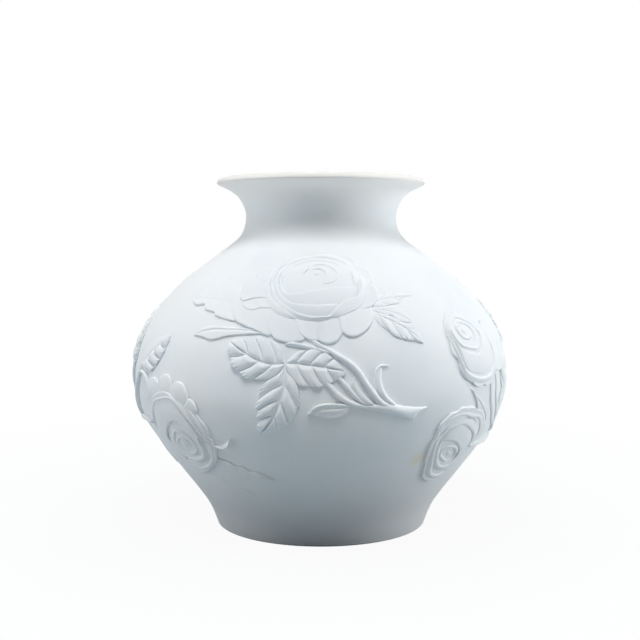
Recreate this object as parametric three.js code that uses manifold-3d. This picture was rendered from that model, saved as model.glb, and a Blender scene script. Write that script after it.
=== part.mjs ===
// A squat bisque porcelain vase with rose sprays in relief. Millimetres, +Z up, origin at the
// centre of the foot's resting face. The wall is a cast pot, glazed inside. Each blossom, leaf and
// stem is a sprig: a thin relief pressed in its own mould and stuck to the wall with wet clay.
import * as THREE from "three";
import { ParametricGeometry } from "three/addons/geometries/ParametricGeometry.js";
import { mergeVertices } from "three/addons/utils/BufferGeometryUtils.js";
import Module from "manifold-3d";

const wasm = await Module();
wasm.setup();

// Driving sizes of the pot
const footRadius = 53;
const footEdgeRadius = 1.5;
const footRingWidth = 7;
const footRecess = 2.4;
const bellyRadius = 93.4;
const bellyHeight = 76; // from the resting face up to the widest line
const shoulderHeight = 78.2; // from the widest line up to the narrowest of the neck
const neckRadius = 37.8;
const flareHeight = 16.2; // from the narrowest of the neck up to the outer edge of the lip
const lipRadius = 51.3;
const lipThickness = 3;
const wallThickness = 4;
const floorThickness = 6;
const innerCornerHeight = 8; // of the curve from the floor up into the wall
const innerCornerReach = 14; // of the same curve along the floor
const glazeThickness = 0.5;

// Driving sizes of the sprigs
const slipGap = 0.3; // the film of clay slip that a sprig, or the glaze, is stuck on with
const sprigGap = 0.35; // between two sprigs, where one is laid over another
const petalRelief = 2.2;
const cupRelief = 4.1;
const leafRelief = 2;
const stemRelief = 2.1;
const frontSprayWidth = 114.4; // between the tips of its outermost leaves
const sideSprayWidth = 169.6;

// Shape of the outline between its stations: share of the way across, share of the way up
const lowerWallShape = [[0.14, 0.165], [0.5, 0.426], [0.66, 0.544], [0.9, 0.757]];
const shoulderShape = [[0.087, 0.283], [0.365, 0.552], [0.711, 0.748], [0.942, 0.877]];
const flareShape = [[0.145, 0.455], [0.44, 0.753]];
const outlineStepsPerSpan = 2;
const tableStepsPerSpan = 50;
const lipSteps = 4;
const cornerSteps = 3;
const potSegments = 48;
const leafSteps = 7;
const stemStepsPerPoint = 1.5;

const degree = Math.PI / 180;
const weldDistance = 1e-4;

// Outline of the pot

const neckHeight = bellyHeight + shoulderHeight;
const lipHeight = neckHeight + flareHeight;

function shapedPoints(from, to, shares) {
  return shares.map(
    ([across, up]) =>
      new THREE.Vector2(from.x + (to.x - from.x) * across, from.y + (to.y - from.y) * up),
  );
}

const footStation = new THREE.Vector2(footRadius, footEdgeRadius);
const bellyStation = new THREE.Vector2(bellyRadius, bellyHeight);
const neckStation = new THREE.Vector2(neckRadius, neckHeight);
const lipStation = new THREE.Vector2(lipRadius, lipHeight);
const outline = new THREE.SplineCurve([
  footStation,
  ...shapedPoints(footStation, bellyStation, lowerWallShape),
  bellyStation,
  ...shapedPoints(bellyStation, neckStation, shoulderShape),
  neckStation,
  ...shapedPoints(neckStation, lipStation, flareShape),
  lipStation,
]);

const spans = outline.points.length - 1;

// Table of the wall by distance along it from the widest line, up positive.
const tableSteps = spans * tableStepsPerSpan;
const wallTable = outline.getPoints(tableSteps).map((p) => ({ radius: p.x, height: p.y, along: 0 }));
wallTable.forEach((row, i) => {
  const before = wallTable[i - 1];
  if (before) {
    row.along = before.along + Math.hypot(row.radius - before.radius, row.height - before.height);
  }
});
const alongAtBelly = wallTable.find((row) => row.height >= bellyHeight).along;
wallTable.forEach((row) => (row.along -= alongAtBelly));

function wallAt(along) {
  const next = wallTable.findIndex((row) => row.along > along);
  const i = next < 0 ? wallTable.length - 1 : Math.max(next, 1);
  const a = wallTable[i - 1];
  const b = wallTable[i];
  const t = (along - a.along) / (b.along - a.along);
  const length = Math.hypot(b.radius - a.radius, b.height - a.height);
  return {
    radius: THREE.MathUtils.lerp(a.radius, b.radius, t),
    height: THREE.MathUtils.lerp(a.height, b.height, t),
    outR: (b.height - a.height) / length,
    outZ: (a.radius - b.radius) / length,
  };
}

// A point that stands a given lift off the wall, some way to the right of a middle line at an azimuth,
// and at a rise from the widest line.
function onWall(middle, across, rise, lift) {
  const w = wallAt(rise);
  const azimuth = middle + across / w.radius;
  const radius = w.radius + w.outR * lift;
  return new THREE.Vector3(
    radius * Math.sin(azimuth),
    -radius * Math.cos(azimuth),
    w.height + w.outZ * lift,
  );
}

// Solids

// Welds a skin's seams and turns it so its faces point out.
function geometryToSolid(geometry) {
  const welded = mergeVertices(geometry, weldDistance);
  const vertProperties = Float32Array.from(welded.attributes.position.array);
  const corner = (i) => new THREE.Vector3().fromArray(vertProperties, 3 * i);
  const index = welded.index.array;
  const faces = [];
  let volume = 0;
  for (let i = 0; i < index.length; i += 3) {
    const [a, b, c] = index.slice(i, i + 3);
    if (a !== b && b !== c && c !== a) {
      faces.push([a, b, c]);
      volume += corner(a).dot(corner(b).cross(corner(c)));
    }
  }
  const outward = volume < 0 ? faces.map(([a, b, c]) => [a, c, b]) : faces;
  return new wasm.Manifold(
    new wasm.Mesh({ numProp: 3, vertProperties, triVerts: Uint32Array.from(outward.flat()) }),
  );
}

// A closed skin from a formula of two parameters, each from 0 to 1.
function skinSolid(point, firstSteps, secondSteps) {
  const skin = new ParametricGeometry(point, firstSteps, secondSteps);
  skin.deleteAttribute("normal");
  skin.deleteAttribute("uv");
  return geometryToSolid(skin);
}

function solidToGeometry(solid) {
  const mesh = solid.getMesh();
  const geometry = new THREE.BufferGeometry();
  geometry.setAttribute("position", new THREE.BufferAttribute(mesh.vertProperties, 3));
  geometry.setIndex(new THREE.BufferAttribute(mesh.triVerts, 1));
  const faceted = geometry.toNonIndexed();
  faceted.computeVertexNormals();
  return faceted;
}

// Cuts a sprig by the stamps of the sprigs that lie over it, and keeps its largest piece.
function cutBy(solid, stamps) {
  const left = stamps.reduce((rest, stamp) => rest.subtract(stamp), solid);
  return left.decompose().sort((a, b) => b.volume() - a.volume())[0];
}

const porcelain = new THREE.MeshStandardMaterial({ color: 0xeef0f1, roughness: 0.9, metalness: 0 });
const glaze = new THREE.MeshStandardMaterial({ color: 0xf4f5f4, roughness: 0.12, metalness: 0 });
const vase = new THREE.Group();

function addPiece(name, geometry, material = porcelain) {
  const mesh = new THREE.Mesh(geometry, material);
  mesh.name = name;
  vase.add(mesh);
}

// The cast pot and its inner glaze

// The outline moved inwards by a depth, from the top of the floor's corner up through each station
// to the lip, where the wall thins to the lip's own thickness.
function insetPoints(inset) {
  const lowest = floorThickness + innerCornerHeight;
  const corner = wallTable.findIndex((row) => row.height >= lowest);
  const top = wallTable[tableSteps].along;
  const rows = wallTable.filter((row, i) => i === corner || (i > corner && i % tableStepsPerSpan === 0));
  return rows.map(({ along }) => {
    const w = wallAt(along);
    const toLip = THREE.MathUtils.smoothstep(along, top - flareHeight, top);
    const depth = inset - (wallThickness - lipThickness) * toLip;
    return new THREE.Vector2(w.radius - w.outR * depth, w.height - w.outZ * depth);
  });
}

// The rounded corner from the inner wall down to the flat inner floor, ending on the axis.
function innerFloor(start, floorHeight) {
  const corner = new THREE.QuadraticBezierCurve(
    start,
    new THREE.Vector2(start.x - innerCornerReach / 3, floorHeight),
    new THREE.Vector2(start.x - innerCornerReach, floorHeight),
  );
  return [...corner.getPoints(cornerSteps).slice(1), new THREE.Vector2(0, floorHeight)];
}

function potProfile() {
  const outer = outline.getPoints(spans * outlineStepsPerSpan);
  const inner = insetPoints(wallThickness).reverse();
  const lipOutside = outer[outer.length - 1];
  const lipInside = inner[0];
  const lipMiddle = lipOutside.clone().lerp(lipInside, 0.5);
  const half = lipOutside.clone().sub(lipMiddle);
  const lip = [];
  for (let i = 1; i < lipSteps; i++) {
    lip.push(half.clone().rotateAround(new THREE.Vector2(), (Math.PI * i) / lipSteps).add(lipMiddle));
  }
  const ringInside = footRadius - footRingWidth;
  const edgeCut = footEdgeRadius * (1 - Math.SQRT1_2);
  return [
    new THREE.Vector2(0, footRecess),
    new THREE.Vector2(ringInside - footRecess, footRecess),
    new THREE.Vector2(ringInside, 0),
    new THREE.Vector2(footRadius - footEdgeRadius, 0),
    new THREE.Vector2(footRadius - edgeCut, edgeCut),
    ...outer,
    ...lip,
    ...inner,
    ...innerFloor(inner[inner.length - 1], floorThickness),
  ];
}

function glazeProfile() {
  const outside = wallThickness + slipGap;
  const inside = outside + glazeThickness;
  const outer = insetPoints(outside);
  const inner = insetPoints(inside).reverse();
  return [
    ...innerFloor(outer[0], floorThickness + slipGap).reverse(),
    ...outer,
    ...inner,
    ...innerFloor(inner[inner.length - 1], floorThickness + slipGap + glazeThickness),
  ];
}

// LatheGeometry turns a profile about Y, so the pot is stood up on Z.
function turned(profile) {
  const lathe = new THREE.LatheGeometry(profile, potSegments);
  lathe.rotateX(Math.PI / 2);
  lathe.deleteAttribute("normal");
  lathe.deleteAttribute("uv");
  return solidToGeometry(geometryToSolid(lathe));
}

addPiece("vase_body", turned(potProfile()));
addPiece("inner_glaze", turned(glazeProfile()), glaze);

// Sprigs that follow a path: leaves and stems

// Cross-sections as side from -1 to 1 and share of the relief, once round. The last point is underneath.
const leafSection = [[-1, 0], [-0.9, 0.6], [-0.5, 1], [0, 0.5], [0.5, 1], [0.9, 0.6], [1, 0], [0, 0]];
const stemSection = [[-1, 0], [-0.6, 0.85], [0, 1], [0.6, 0.85], [1, 0], [0, 0]];
const stampSection = [[-1, 0], [-1, 1], [0, 1], [1, 1], [1, 0], [0, 0]];
const endShare = 0.4; // of the relief, where a strip's end is closed
const stampDepth = 3;
const stampHeight = slipGap + 2 * Math.max(cupRelief, petalRelief, leafRelief, stemRelief);

// A strip along a path laid on the wall. halvesAt gives its half widths to the right and to the left
// of the path at a share of the length, and reliefAt its height there.
function strip({ middle, path, halvesAt, reliefAt, section, steps, grow = 0, stamp = false }) {
  const loop = stamp ? stampSection : section;
  const rows = steps + 2;
  return skinSolid(
    (v, u, target) => {
      const row = Math.round(u * rows) - 1;
      const t = THREE.MathUtils.clamp(row / steps, 0, 1);
      const isEnd = row < 0 || row > steps;
      const [side, share] = loop[Math.round(v * loop.length) % loop.length];
      const [right, left] = halvesAt(t);
      const beside = isEnd ? 0 : side * ((side < 0 ? right : left) + grow);
      const ahead = t === 0 ? -grow : t === 1 ? grow : 0;
      const lift = stamp
        ? THREE.MathUtils.lerp(-stampDepth, stampHeight, isEnd ? endShare : share)
        : slipGap + (isEnd ? endShare : share) * reliefAt(t);
      const at = path.getPoint(t);
      const slope = path.getTangent(t);
      const along = new THREE.Vector2(slope.x, slope.y).normalize();
      const across = at.x + along.x * ahead - along.y * beside;
      const rise = at.y + along.y * ahead + along.x * beside;
      target.copy(onWall(middle, across, rise, lift));
    },
    loop.length,
    rows,
  );
}

// A leaf along its midrib, with half widths at equal shares of its length, and a relief that is
// a flattened hump.
const leafEndHalf = 0.5;
const leafEndRelief = 0.35;

function leafParts({ middle, midrib, right, left, thickness = 1 }) {
  const path = new THREE.SplineCurve(midrib.map(([x, y]) => new THREE.Vector2(x, y)));
  const [rightEdge, leftEdge] = [right, left].map(
    (halves) => new THREE.SplineCurve(halves.map((half, i) => new THREE.Vector2(i, half))),
  );
  const shape = {
    middle,
    path,
    section: leafSection,
    steps: leafSteps,
    halvesAt: (t) => [rightEdge, leftEdge].map((edge) => Math.max(leafEndHalf, edge.getPoint(t).y)),
    reliefAt: (t) => thickness * leafRelief * Math.max(leafEndRelief, Math.sin(Math.PI * t) ** 0.4 || 0),
  };
  return { solid: strip(shape), stamp: strip({ ...shape, grow: sprigGap, stamp: true }) };
}

// A stem or stalk through points of its own width.
function stemSolid({ middle, points }) {
  const curve = new THREE.CatmullRomCurve3(
    points.map((point) => new THREE.Vector3(...point)),
    false,
    "catmullrom",
  );
  return strip({
    middle,
    path: curve,
    section: stemSection,
    steps: Math.round(stemStepsPerPoint * (points.length - 1)),
    halvesAt: (t) => [curve.getPoint(t).z / 2, curve.getPoint(t).z / 2],
    reliefAt: () => stemRelief,
  });
}

// Blossoms

// Terraces of a blossom's cup from its heart outwards: share of the radius, share of the relief.
const cupTerraces = [
  [0, 0.86], [0.13, 1], [0.23, 0.78], [0.35, 0.97], [0.5, 0.7], [0.66, 0.86], [0.86, 0.55], [1, 0],
];
const cupUnderside = [[0.67, 0], [0.33, 0], [0, 0]];

const cupPetals = 5;
const cupFullness = 0.035; // share of the cup's radius that its petals swell by
const cupTilt = 0.22; // share of the relief that the cup's lower rim stands prouder by
const petalShortest = 1.5; // least reach of an open petal past the cup
const lobeFall = [0.11, 0.09]; // shares of a petal's reach lost at its sides, in the square and fourth power

// Outline of a cup: nearly round, a little full at each of its petals.
function cupRadius(rose, angle) {
  return rose.cup * (1 + cupFullness * Math.cos(cupPetals * (angle - rose.turn * degree)));
}

// Outline of the open petals round the cup: each is a lobe about its own angle.
function petalRadius(rose, angle) {
  const reach = rose.petals.map(([centre, half, outer]) => {
    const turnBy = Math.atan2(Math.sin(angle - centre * degree), Math.cos(angle - centre * degree));
    const t = turnBy / (half * degree);
    return outer * (1 - lobeFall[0] * t ** 2 - lobeFall[1] * t ** 4);
  });
  return Math.max(rose.cup + petalShortest, ...reach);
}

function onRose(rose, across, up, lift) {
  const [toRight, rise] = rose.centre;
  return onWall(rose.middle + toRight / wallAt(rise).radius, across, rise + up, lift);
}

// The cup, whose heart sits off its middle.
function cupSolid(rose, steps) {
  const rings = [...cupTerraces, ...cupUnderside];
  return skinSolid(
    (v, u, target) => {
      const row = Math.round(u * (rings.length - 1));
      const angle = (v % 1) * 2 * Math.PI;
      const [share, height] = rings[row];
      const radius = share * cupRadius(rose, angle);
      const toHeart = row < cupTerraces.length ? 1 - share : 0;
      const tilt = 1 - cupTilt * share * Math.sin(angle);
      target.copy(
        onRose(
          rose,
          radius * Math.cos(angle) + rose.heart[0] * toHeart,
          radius * Math.sin(angle) + rose.heart[1] * toHeart,
          slipGap + cupRelief * height * tilt,
        ),
      );
    },
    steps,
    rings.length - 1,
  );
}

// Section of the ring of open petals: share of the way out, share of the relief.
const petalSection = [[0, 0], [0, 0.62], [0.55, 0.78], [0.86, 1], [1, 0], [0.5, 0]];

// Ring of open petals, from just outside the cup to the scalloped outline.
function petalRing(rose, steps) {
  return skinSolid(
    (v, u, target) => {
      const angle = (u % 1) * 2 * Math.PI;
      const [share, height] = petalSection[Math.round(v * petalSection.length) % petalSection.length];
      const inner = cupRadius(rose, angle) + sprigGap;
      const radius = THREE.MathUtils.lerp(inner, petalRadius(rose, angle), share);
      target.copy(
        onRose(rose, radius * Math.cos(angle), radius * Math.sin(angle), slipGap + petalRelief * height),
      );
    },
    petalSection.length,
    steps,
  );
}

// A disc-shaped cutter with the blossom's outline, grown by the gap between sprigs.
function roseStamp(rose, steps) {
  const loop = [[0, 1], [0.5, 1], [1, 1], [1, 0], [0.5, 0], [0, 0]];
  return skinSolid(
    (v, u, target) => {
      const angle = (v % 1) * 2 * Math.PI;
      const [share, height] = loop[Math.round(u * (loop.length - 1))];
      const radius = share * (petalRadius(rose, angle) + sprigGap);
      const lift = THREE.MathUtils.lerp(-stampDepth, stampHeight, height);
      target.copy(onRose(rose, radius * Math.cos(angle), radius * Math.sin(angle), lift));
    },
    steps,
    loop.length - 1,
  );
}

// The sprays, drawn flat in millimetres: first across, to the right of the spray's middle, then the rise
// along the wall from its widest line. Petals are [middle angle, half angle, reach] about their
// blossom's own middle, and a stem's points have its width as a third number.

const frontRose = {
  centre: [-2.2, 53],
  cup: 21.6,
  heart: [0.6, 6],
  turn: 90,
  cupSteps: 24,
  petalSteps: 44,
  petals: [
    [214, 17, 40], [243, 13, 33.4], [278, 18, 30.8], [311, 17, 33], [346, 20, 29.5], [20, 22, 28.5],
    [56, 22, 27.5], [92, 22, 27], [128, 20, 28], [163, 13, 29.5], [184, 12, 35.5], [200, 8, 34.5],
  ],
};

const frontLeaves = {
  rose_leaf_left: {
    midrib: [[-20, 38], [-36, 42], [-52, 44.5], [-67.5, 43.6]],
    left: [3, 9, 9, 7.5, 3.4, 0],
    right: [3, 8, 8.5, 7, 3, 0],
  },
  rose_leaf_upper: {
    midrib: [[18, 43.5], [24, 48.6], [29.4, 53.8]],
    left: [1, 3.2, 3.4, 2, 0],
    right: [1, 3, 3, 1.6, 0],
  },
  rose_leaf_middle: {
    midrib: [[20, 42.6], [28, 45], [35.5, 46], [43.6, 47]],
    left: [1.5, 3.6, 4, 2.2, 0],
    right: [1.5, 3.8, 3.4, 1.6, 0],
  },
  rose_leaf_right: {
    midrib: [[22, 39.5], [29, 37], [35.2, 33.6], [40.4, 29.8], [44.2, 26], [46.9, 22]],
    left: [0.6, 2.6, 3.4, 3.1, 1.8, 0],
    right: [0.6, 4.4, 6.6, 6.4, 3.8, 0],
  },
  narrow_leaf: {
    midrib: [[-22, 27.1], [-30, 28.1], [-41, 27.9], [-50, 27], [-56, 26.4], [-61.8, 25.2]],
    left: [0.4, 1, 1.7, 3.1, 1.5, 0],
    right: [0.4, 1, 1.7, 2.9, 1.8, 0],
    thickness: 0.7,
  },
  leaflet_left: {
    midrib: [[-15.4, 14.1], [-20.8, 13.6], [-26.7, 14.9], [-32.1, 17.5], [-36.2, 20], [-41, 23.4]],
    left: [1, 5.6, 7.4, 7.5, 5.3, 0],
    right: [1, 8, 9.8, 7.5, 4.4, 0],
  },
  leaflet_right: {
    midrib: [[-15, 14.3], [-10.2, 14.1], [-5, 13.5], [0.2, 12.9], [4.5, 12.1], [10.5, 10.9]],
    left: [1, 4.8, 7.1, 6.4, 4.2, 0],
    right: [1, 7.8, 8.6, 7.8, 5, 0],
  },
  leaflet_lower: {
    midrib: [
      [-15.2, 13.5], [-15.3, 9.6], [-15.7, 4.8], [-17.2, -0.4], [-19, -5.7], [-21.4, -10.4], [-27, -17],
    ],
    left: [0.8, 4.8, 7.4, 8.8, 6.4, 0],
    right: [0.8, 6.8, 9.6, 8.6, 5.2, 0],
  },
  stem_leaf: {
    midrib: [[12.8, -3.7], [6.8, -4.7], [1.6, -5.5], [-5.4, -6.8]],
    left: [0.4, 2.6, 3.2, 1.8, 0],
    right: [0.4, 1.9, 2.6, 2.2, 0],
    thickness: 0.7,
  },
  stipule: {
    midrib: [[23, -3.2], [18.6, -1], [15.4, 2.2], [13.9, 5.2], [13.8, 8.6]],
    left: [0.4, 1.1, 1.4, 1.2, 0],
    right: [0.4, 0.9, 1.1, 1, 0],
    thickness: 0.7,
  },
};

const frontStems = [
  [
    [45.2, -8.6, 7.6], [42, -7.9, 6], [37, -6.7, 4.9], [32, -5.5, 4.6], [27, -4.7, 4.4], [22, -4, 3.4],
    [17, -3.6, 2.4], [13.4, -3.6, 1.4],
  ],
  [
    [30, -4.6, 2.6], [25.6, -2, 3], [22, 1.8, 3.1], [18.6, 6.4, 3], [15.6, 10.9, 2.8],
    [11.8, 14.6, 2.7], [7.6, 17.3, 2.5], [3.4, 19.9, 2.3], [-1.2, 22.6, 2], [-4, 25, 1.6],
  ],
  [[3.6, 19, 1.6], [-2.1, 20.6, 2], [-8.3, 22.1, 2.1], [-12.6, 22.7, 1.9], [-15, 22.2, 1]],
  [
    [18.6, -3.6, 1.6], [14.6, -2.8, 2.6], [10.5, -1.1, 2.9], [6.8, 1.7, 2.9], [4.2, 4.4, 2.8],
    [1.4, 7.4, 2.6],
  ],
  [[20.6, -3, 1.2], [17.3, -1.8, 2], [14, 1, 2.3], [10.6, 5, 2.3], [6.8, 9.2, 2.2]],
  [
    [31.4, -3.9, 2.4], [27.8, -0.6, 2.5], [25.7, 2.6, 2.8], [24.7, 6.1, 3.2], [24.8, 9.5, 3.2],
    [26.3, 12, 2.2], [28.9, 12.6, 0.8],
  ],
];

const sideRoses = {
  upper_rose: {
    centre: [-63.5, 20],
    cup: 16,
    heart: [-1, 5],
    turn: 250,
    cupSteps: 16,
    petalSteps: 32,
    petals: [
      [258, 27, 20.8], [302, 25, 20.8], [348, 26, 19.5], [34, 26, 19], [80, 26, 18.6], [128, 26, 18.4],
      [174, 24, 18], [216, 22, 19.2],
    ],
  },
  lower_rose: {
    centre: [-67.5, -28],
    cup: 16,
    heart: [1, -5],
    turn: 100,
    cupSteps: 16,
    petalSteps: 32,
    petals: [
      [94, 27, 21.2], [138, 25, 21.2], [184, 26, 19.9], [230, 26, 19.4], [276, 26, 19], [324, 26, 18.8],
      [10, 24, 18.4], [52, 22, 19.6],
    ],
  },
  far_rose: {
    centre: [68.5, -23.5],
    cup: 17,
    heart: [1, -6],
    turn: 70,
    cupSteps: 16,
    petalSteps: 32,
    petals: [
      [73, 27, 21.4], [117, 25, 22.6], [163, 26, 22.2], [209, 26, 21], [255, 26, 19.2], [303, 26, 20],
      [349, 24, 20.6], [31, 22, 21.4],
    ],
  },
};

const sideLeaves = {
  upper_leaf: {
    midrib: [[41.6, 8], [47.4, 13.4], [53.8, 18], [60.6, 24.6]],
    left: [1, 6, 7, 5.4, 2.4, 0],
    right: [1, 6.5, 8, 7, 3.6, 0],
  },
  wall_leaf: {
    midrib: [[-37, -7], [-36, 3], [-32, 13], [-27.6, 22]],
    left: [1, 3.6, 5.2, 4.4, 2, 0],
    right: [1, 3.6, 5, 4.2, 1.9, 0],
  },
  middle_leaf: {
    midrib: [[3.6, 8], [2.4, 20], [-1, 32], [-5, 43]],
    left: [1, 6, 8, 6.6, 3.2, 0],
    right: [1, 6.2, 8.2, 6.4, 3, 0],
  },
  bud_leaf: {
    midrib: [[13.6, 4], [20, 14], [22.4, 23], [21.6, 31]],
    left: [0.8, 4.6, 6, 4.4, 1.8, 0],
    right: [0.8, 4.8, 6.2, 4.6, 1.9, 0],
  },
  sepal: {
    midrib: [[-50, -18], [-57, -12.6], [-64, -7.2], [-71.2, -0.4]],
    left: [1.2, 2.2, 2.1, 0.9, 0],
    right: [1.2, 2.2, 2.1, 0.9, 0],
    thickness: 0.8,
  },
  foot_leaf: {
    midrib: [[78.4, -33], [82.4, -38], [88.5, -41.4], [98, -44.6]],
    left: [0.6, 2.6, 3.4, 2.2, 0],
    right: [0.6, 2.4, 3.2, 2.4, 0],
    thickness: 0.6,
  },
  low_leaf: {
    midrib: [[57, -46], [64, -50.4], [70, -53.6], [77, -56.4]],
    left: [0.6, 2.8, 3.6, 2.2, 0],
    right: [0.6, 2.6, 3.2, 2, 0],
    thickness: 0.6,
  },
  tip_leaf: {
    midrib: [[84.5, -25], [90, -26], [94.6, -24], [98.4, -20.4]],
    left: [0.6, 0.9, 0.9, 0.5, 0],
    right: [0.6, 0.9, 0.9, 0.5, 0],
    thickness: 0.4,
  },
};

const sideStems = [
  [[6.5, -48, 5.6], [5.4, -43, 4.6], [3.8, -33, 4.3], [5, -18, 3.7], [3.6, -4, 3], [3.4, 9, 2.4]],
  [
    [3.8, -36, 2.2], [-13, -28, 3.1], [-31, -21, 3], [-45, -11.5, 2.8], [-54, -4.5, 2.6],
    [-59.6, -0.4, 2.2],
  ],
  [[-33, -20, 1.8], [-42, -12, 2.6], [-48, -4.4, 2.4], [-50.5, 3, 2]],
  [[-37.5, -13.6, 1.8], [-41.4, -7, 2.3], [-38, -1.5, 2], [-36.8, 2, 1.6]],
  [[-11, -29.2, 2], [-22, -31.2, 2.8], [-36, -31.6, 2.6], [-50, -31, 2.2]],
  [[4.6, -25, 2.2], [15, -21, 3], [28, -19, 2.8], [44, -19, 2.4]],
  [[13.5, -21.8, 1.8], [23.8, -13, 2.7], [34, -3, 2.5], [42.4, 8.8, 2]],
  [[39.6, 5, 1.4], [45.4, 4.6, 2], [50, 2.4, 2], [52.4, -3, 1.6]],
  [[4, -8, 1.6], [8.4, -2.6, 2.2], [14.3, 5, 1.8]],
];

// Draws a spray at its own width, round the azimuth where its middle stands.
function drawnSpray(leaves, stems, roses, width, middleDegrees) {
  const middle = middleDegrees * degree;
  const drawn = [...Object.values(leaves).map((leaf) => leaf.midrib), ...stems];
  const acrosses = drawn.flat().map(([across]) => across);
  const size = width / (Math.max(...acrosses) - Math.min(...acrosses));
  const sized = (values) => values.map((value) => value * size);
  const sizedPoints = (points) => points.map(sized);
  const each = (parts, change) =>
    Object.fromEntries(Object.entries(parts).map(([name, part]) => [name, change(part)]));
  return {
    leaves: each(leaves, (leaf) => ({
      ...leaf,
      middle,
      midrib: sizedPoints(leaf.midrib),
      left: sized(leaf.left),
      right: sized(leaf.right),
    })),
    stems: stems.map((points) => ({ middle, points: sizedPoints(points) })),
    roses: each(roses, (rose) => ({
      ...rose,
      middle,
      centre: sized(rose.centre),
      cup: rose.cup * size,
      heart: sized(rose.heart),
      petals: rose.petals.map(([centre, half, reach]) => [centre, half, reach * size]),
    })),
  };
}

// Lays a spray: blossoms on top, then the leaves in the order given, and the joined stems under all.
function addSpray(side, { leaves, stems, roses }) {
  const stamps = [];
  for (const [name, rose] of Object.entries(roses)) {
    addPiece(`${side}_${name}`, solidToGeometry(cutBy(cupSolid(rose, rose.cupSteps), stamps)));
    addPiece(`${side}_${name}_petals`, solidToGeometry(cutBy(petalRing(rose, rose.petalSteps), stamps)));
    stamps.push(roseStamp(rose, rose.petalSteps));
  }
  for (const [name, leaf] of Object.entries(leaves)) {
    const { solid, stamp } = leafParts(leaf);
    addPiece(`${side}_${name}`, solidToGeometry(cutBy(solid, stamps)));
    stamps.push(stamp);
  }
  const joined = stems.map(stemSolid).reduce((all, stem) => all.add(stem));
  addPiece(`${side}_stem`, solidToGeometry(cutBy(joined, stamps)));
}

const halfTurn = 180;
const sideMiddle = 90;
for (const [side, middle] of [["front", 0], ["back", halfTurn]]) {
  addSpray(side, drawnSpray(frontLeaves, frontStems, { rose: frontRose }, frontSprayWidth, middle));
}
for (const [side, middle] of [["right", sideMiddle], ["left", sideMiddle + halfTurn]]) {
  addSpray(side, drawnSpray(sideLeaves, sideStems, sideRoses, sideSprayWidth, middle));
}

export default vase;
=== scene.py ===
# A bisque porcelain vase with rose sprays in low relief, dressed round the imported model.
import math

import bpy
import numpy as np
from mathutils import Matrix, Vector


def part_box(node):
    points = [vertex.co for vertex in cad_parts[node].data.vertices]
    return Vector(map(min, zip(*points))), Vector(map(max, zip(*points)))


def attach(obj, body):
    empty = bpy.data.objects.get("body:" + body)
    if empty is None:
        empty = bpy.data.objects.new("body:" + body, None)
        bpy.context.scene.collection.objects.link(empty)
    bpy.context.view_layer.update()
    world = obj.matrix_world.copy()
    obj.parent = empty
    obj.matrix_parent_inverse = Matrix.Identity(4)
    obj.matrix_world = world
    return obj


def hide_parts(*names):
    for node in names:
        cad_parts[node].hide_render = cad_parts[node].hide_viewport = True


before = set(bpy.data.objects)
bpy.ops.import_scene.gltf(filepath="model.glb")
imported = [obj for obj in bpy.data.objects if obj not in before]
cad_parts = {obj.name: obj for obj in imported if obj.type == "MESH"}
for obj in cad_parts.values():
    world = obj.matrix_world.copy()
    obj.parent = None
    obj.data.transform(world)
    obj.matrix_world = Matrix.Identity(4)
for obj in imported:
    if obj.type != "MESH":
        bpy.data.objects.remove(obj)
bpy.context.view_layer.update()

mm = 0.001
bodyName = "root"

# Outline of the pot in millimetres: stations as radius and height, and between them
# shares of the way across and of the way up.
pot = {
    "foot": (53.0, 1.5),
    "belly": (93.4, 76.0),
    "neck": (37.8, 154.2),
    "lip": (51.3, 170.4),
    "lowerWall": [(0.14, 0.165), (0.5, 0.426), (0.66, 0.544), (0.9, 0.757)],
    "shoulder": [(0.087, 0.283), (0.365, 0.552), (0.711, 0.748), (0.942, 0.877)],
    "flare": [(0.145, 0.455), (0.44, 0.753)],
    "wall": 4.0,
    "lipThickness": 3.0,
    "lipSquareness": 0.55,  # power of the rim's round section: 1 is a half circle
    "floor": 6.0,
    "cornerHeight": 8.0,
    "cornerReach": 14.0,
    "footRing": 7.0,
    "footRecess": 2.4,
    "footEdge": 1.5,
    "glaze": 0.5,
    "slip": 0.3,
    "segments": 240,
}


# Curves

def splineThrough(points, count, closed=False):
    # Each span is the cubic through its two points, with half the chord of their neighbours as slope.
    points = np.asarray(points, float)
    last = len(points) if closed else len(points) - 1
    t = np.linspace(0, last, count, endpoint=not closed)
    i = np.minimum(t.astype(int), last - 1)
    f = (t - i)[:, None]
    if closed:
        a, b, c, d = (points[(i + k) % len(points)] for k in (-1, 0, 1, 2))
    else:
        a, b, c, d = (points[np.clip(i + k, 0, last)] for k in (-1, 0, 1, 2))
    bend = (2 * a - 5 * b + 4 * c - d) * f**2 + (3 * b - a - 3 * c + d) * f**3
    return 0.5 * (2 * b + (c - a) * f + bend)


def evenly(points, count, closed=False):
    # The spline through the points, sampled again at equal steps along its length in the plane.
    fine = splineThrough(points, 24 * len(points), closed)
    if closed:
        fine = np.vstack([fine, fine[:1]])
    steps = np.linalg.norm(np.diff(fine[:, :2], axis=0), axis=1)
    along = np.concatenate([[0], np.cumsum(steps)])
    at = np.linspace(0, along[-1], count, endpoint=not closed)
    return np.stack([np.interp(at, along, column) for column in fine.T], 1)


def headings(line):
    # Unit directions along a line.
    course = np.gradient(line, axis=0)
    return course / np.linalg.norm(course, axis=1)[:, None]


def smooth(low, high, x):
    t = np.clip((x - low) / (high - low), 0, 1)
    return t * t * (3 - 2 * t)


# The wall

def between(start, end, shares):
    start, end = np.array(start), np.array(end)
    return [start + (end - start) * np.array(share) for share in shares]


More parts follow.
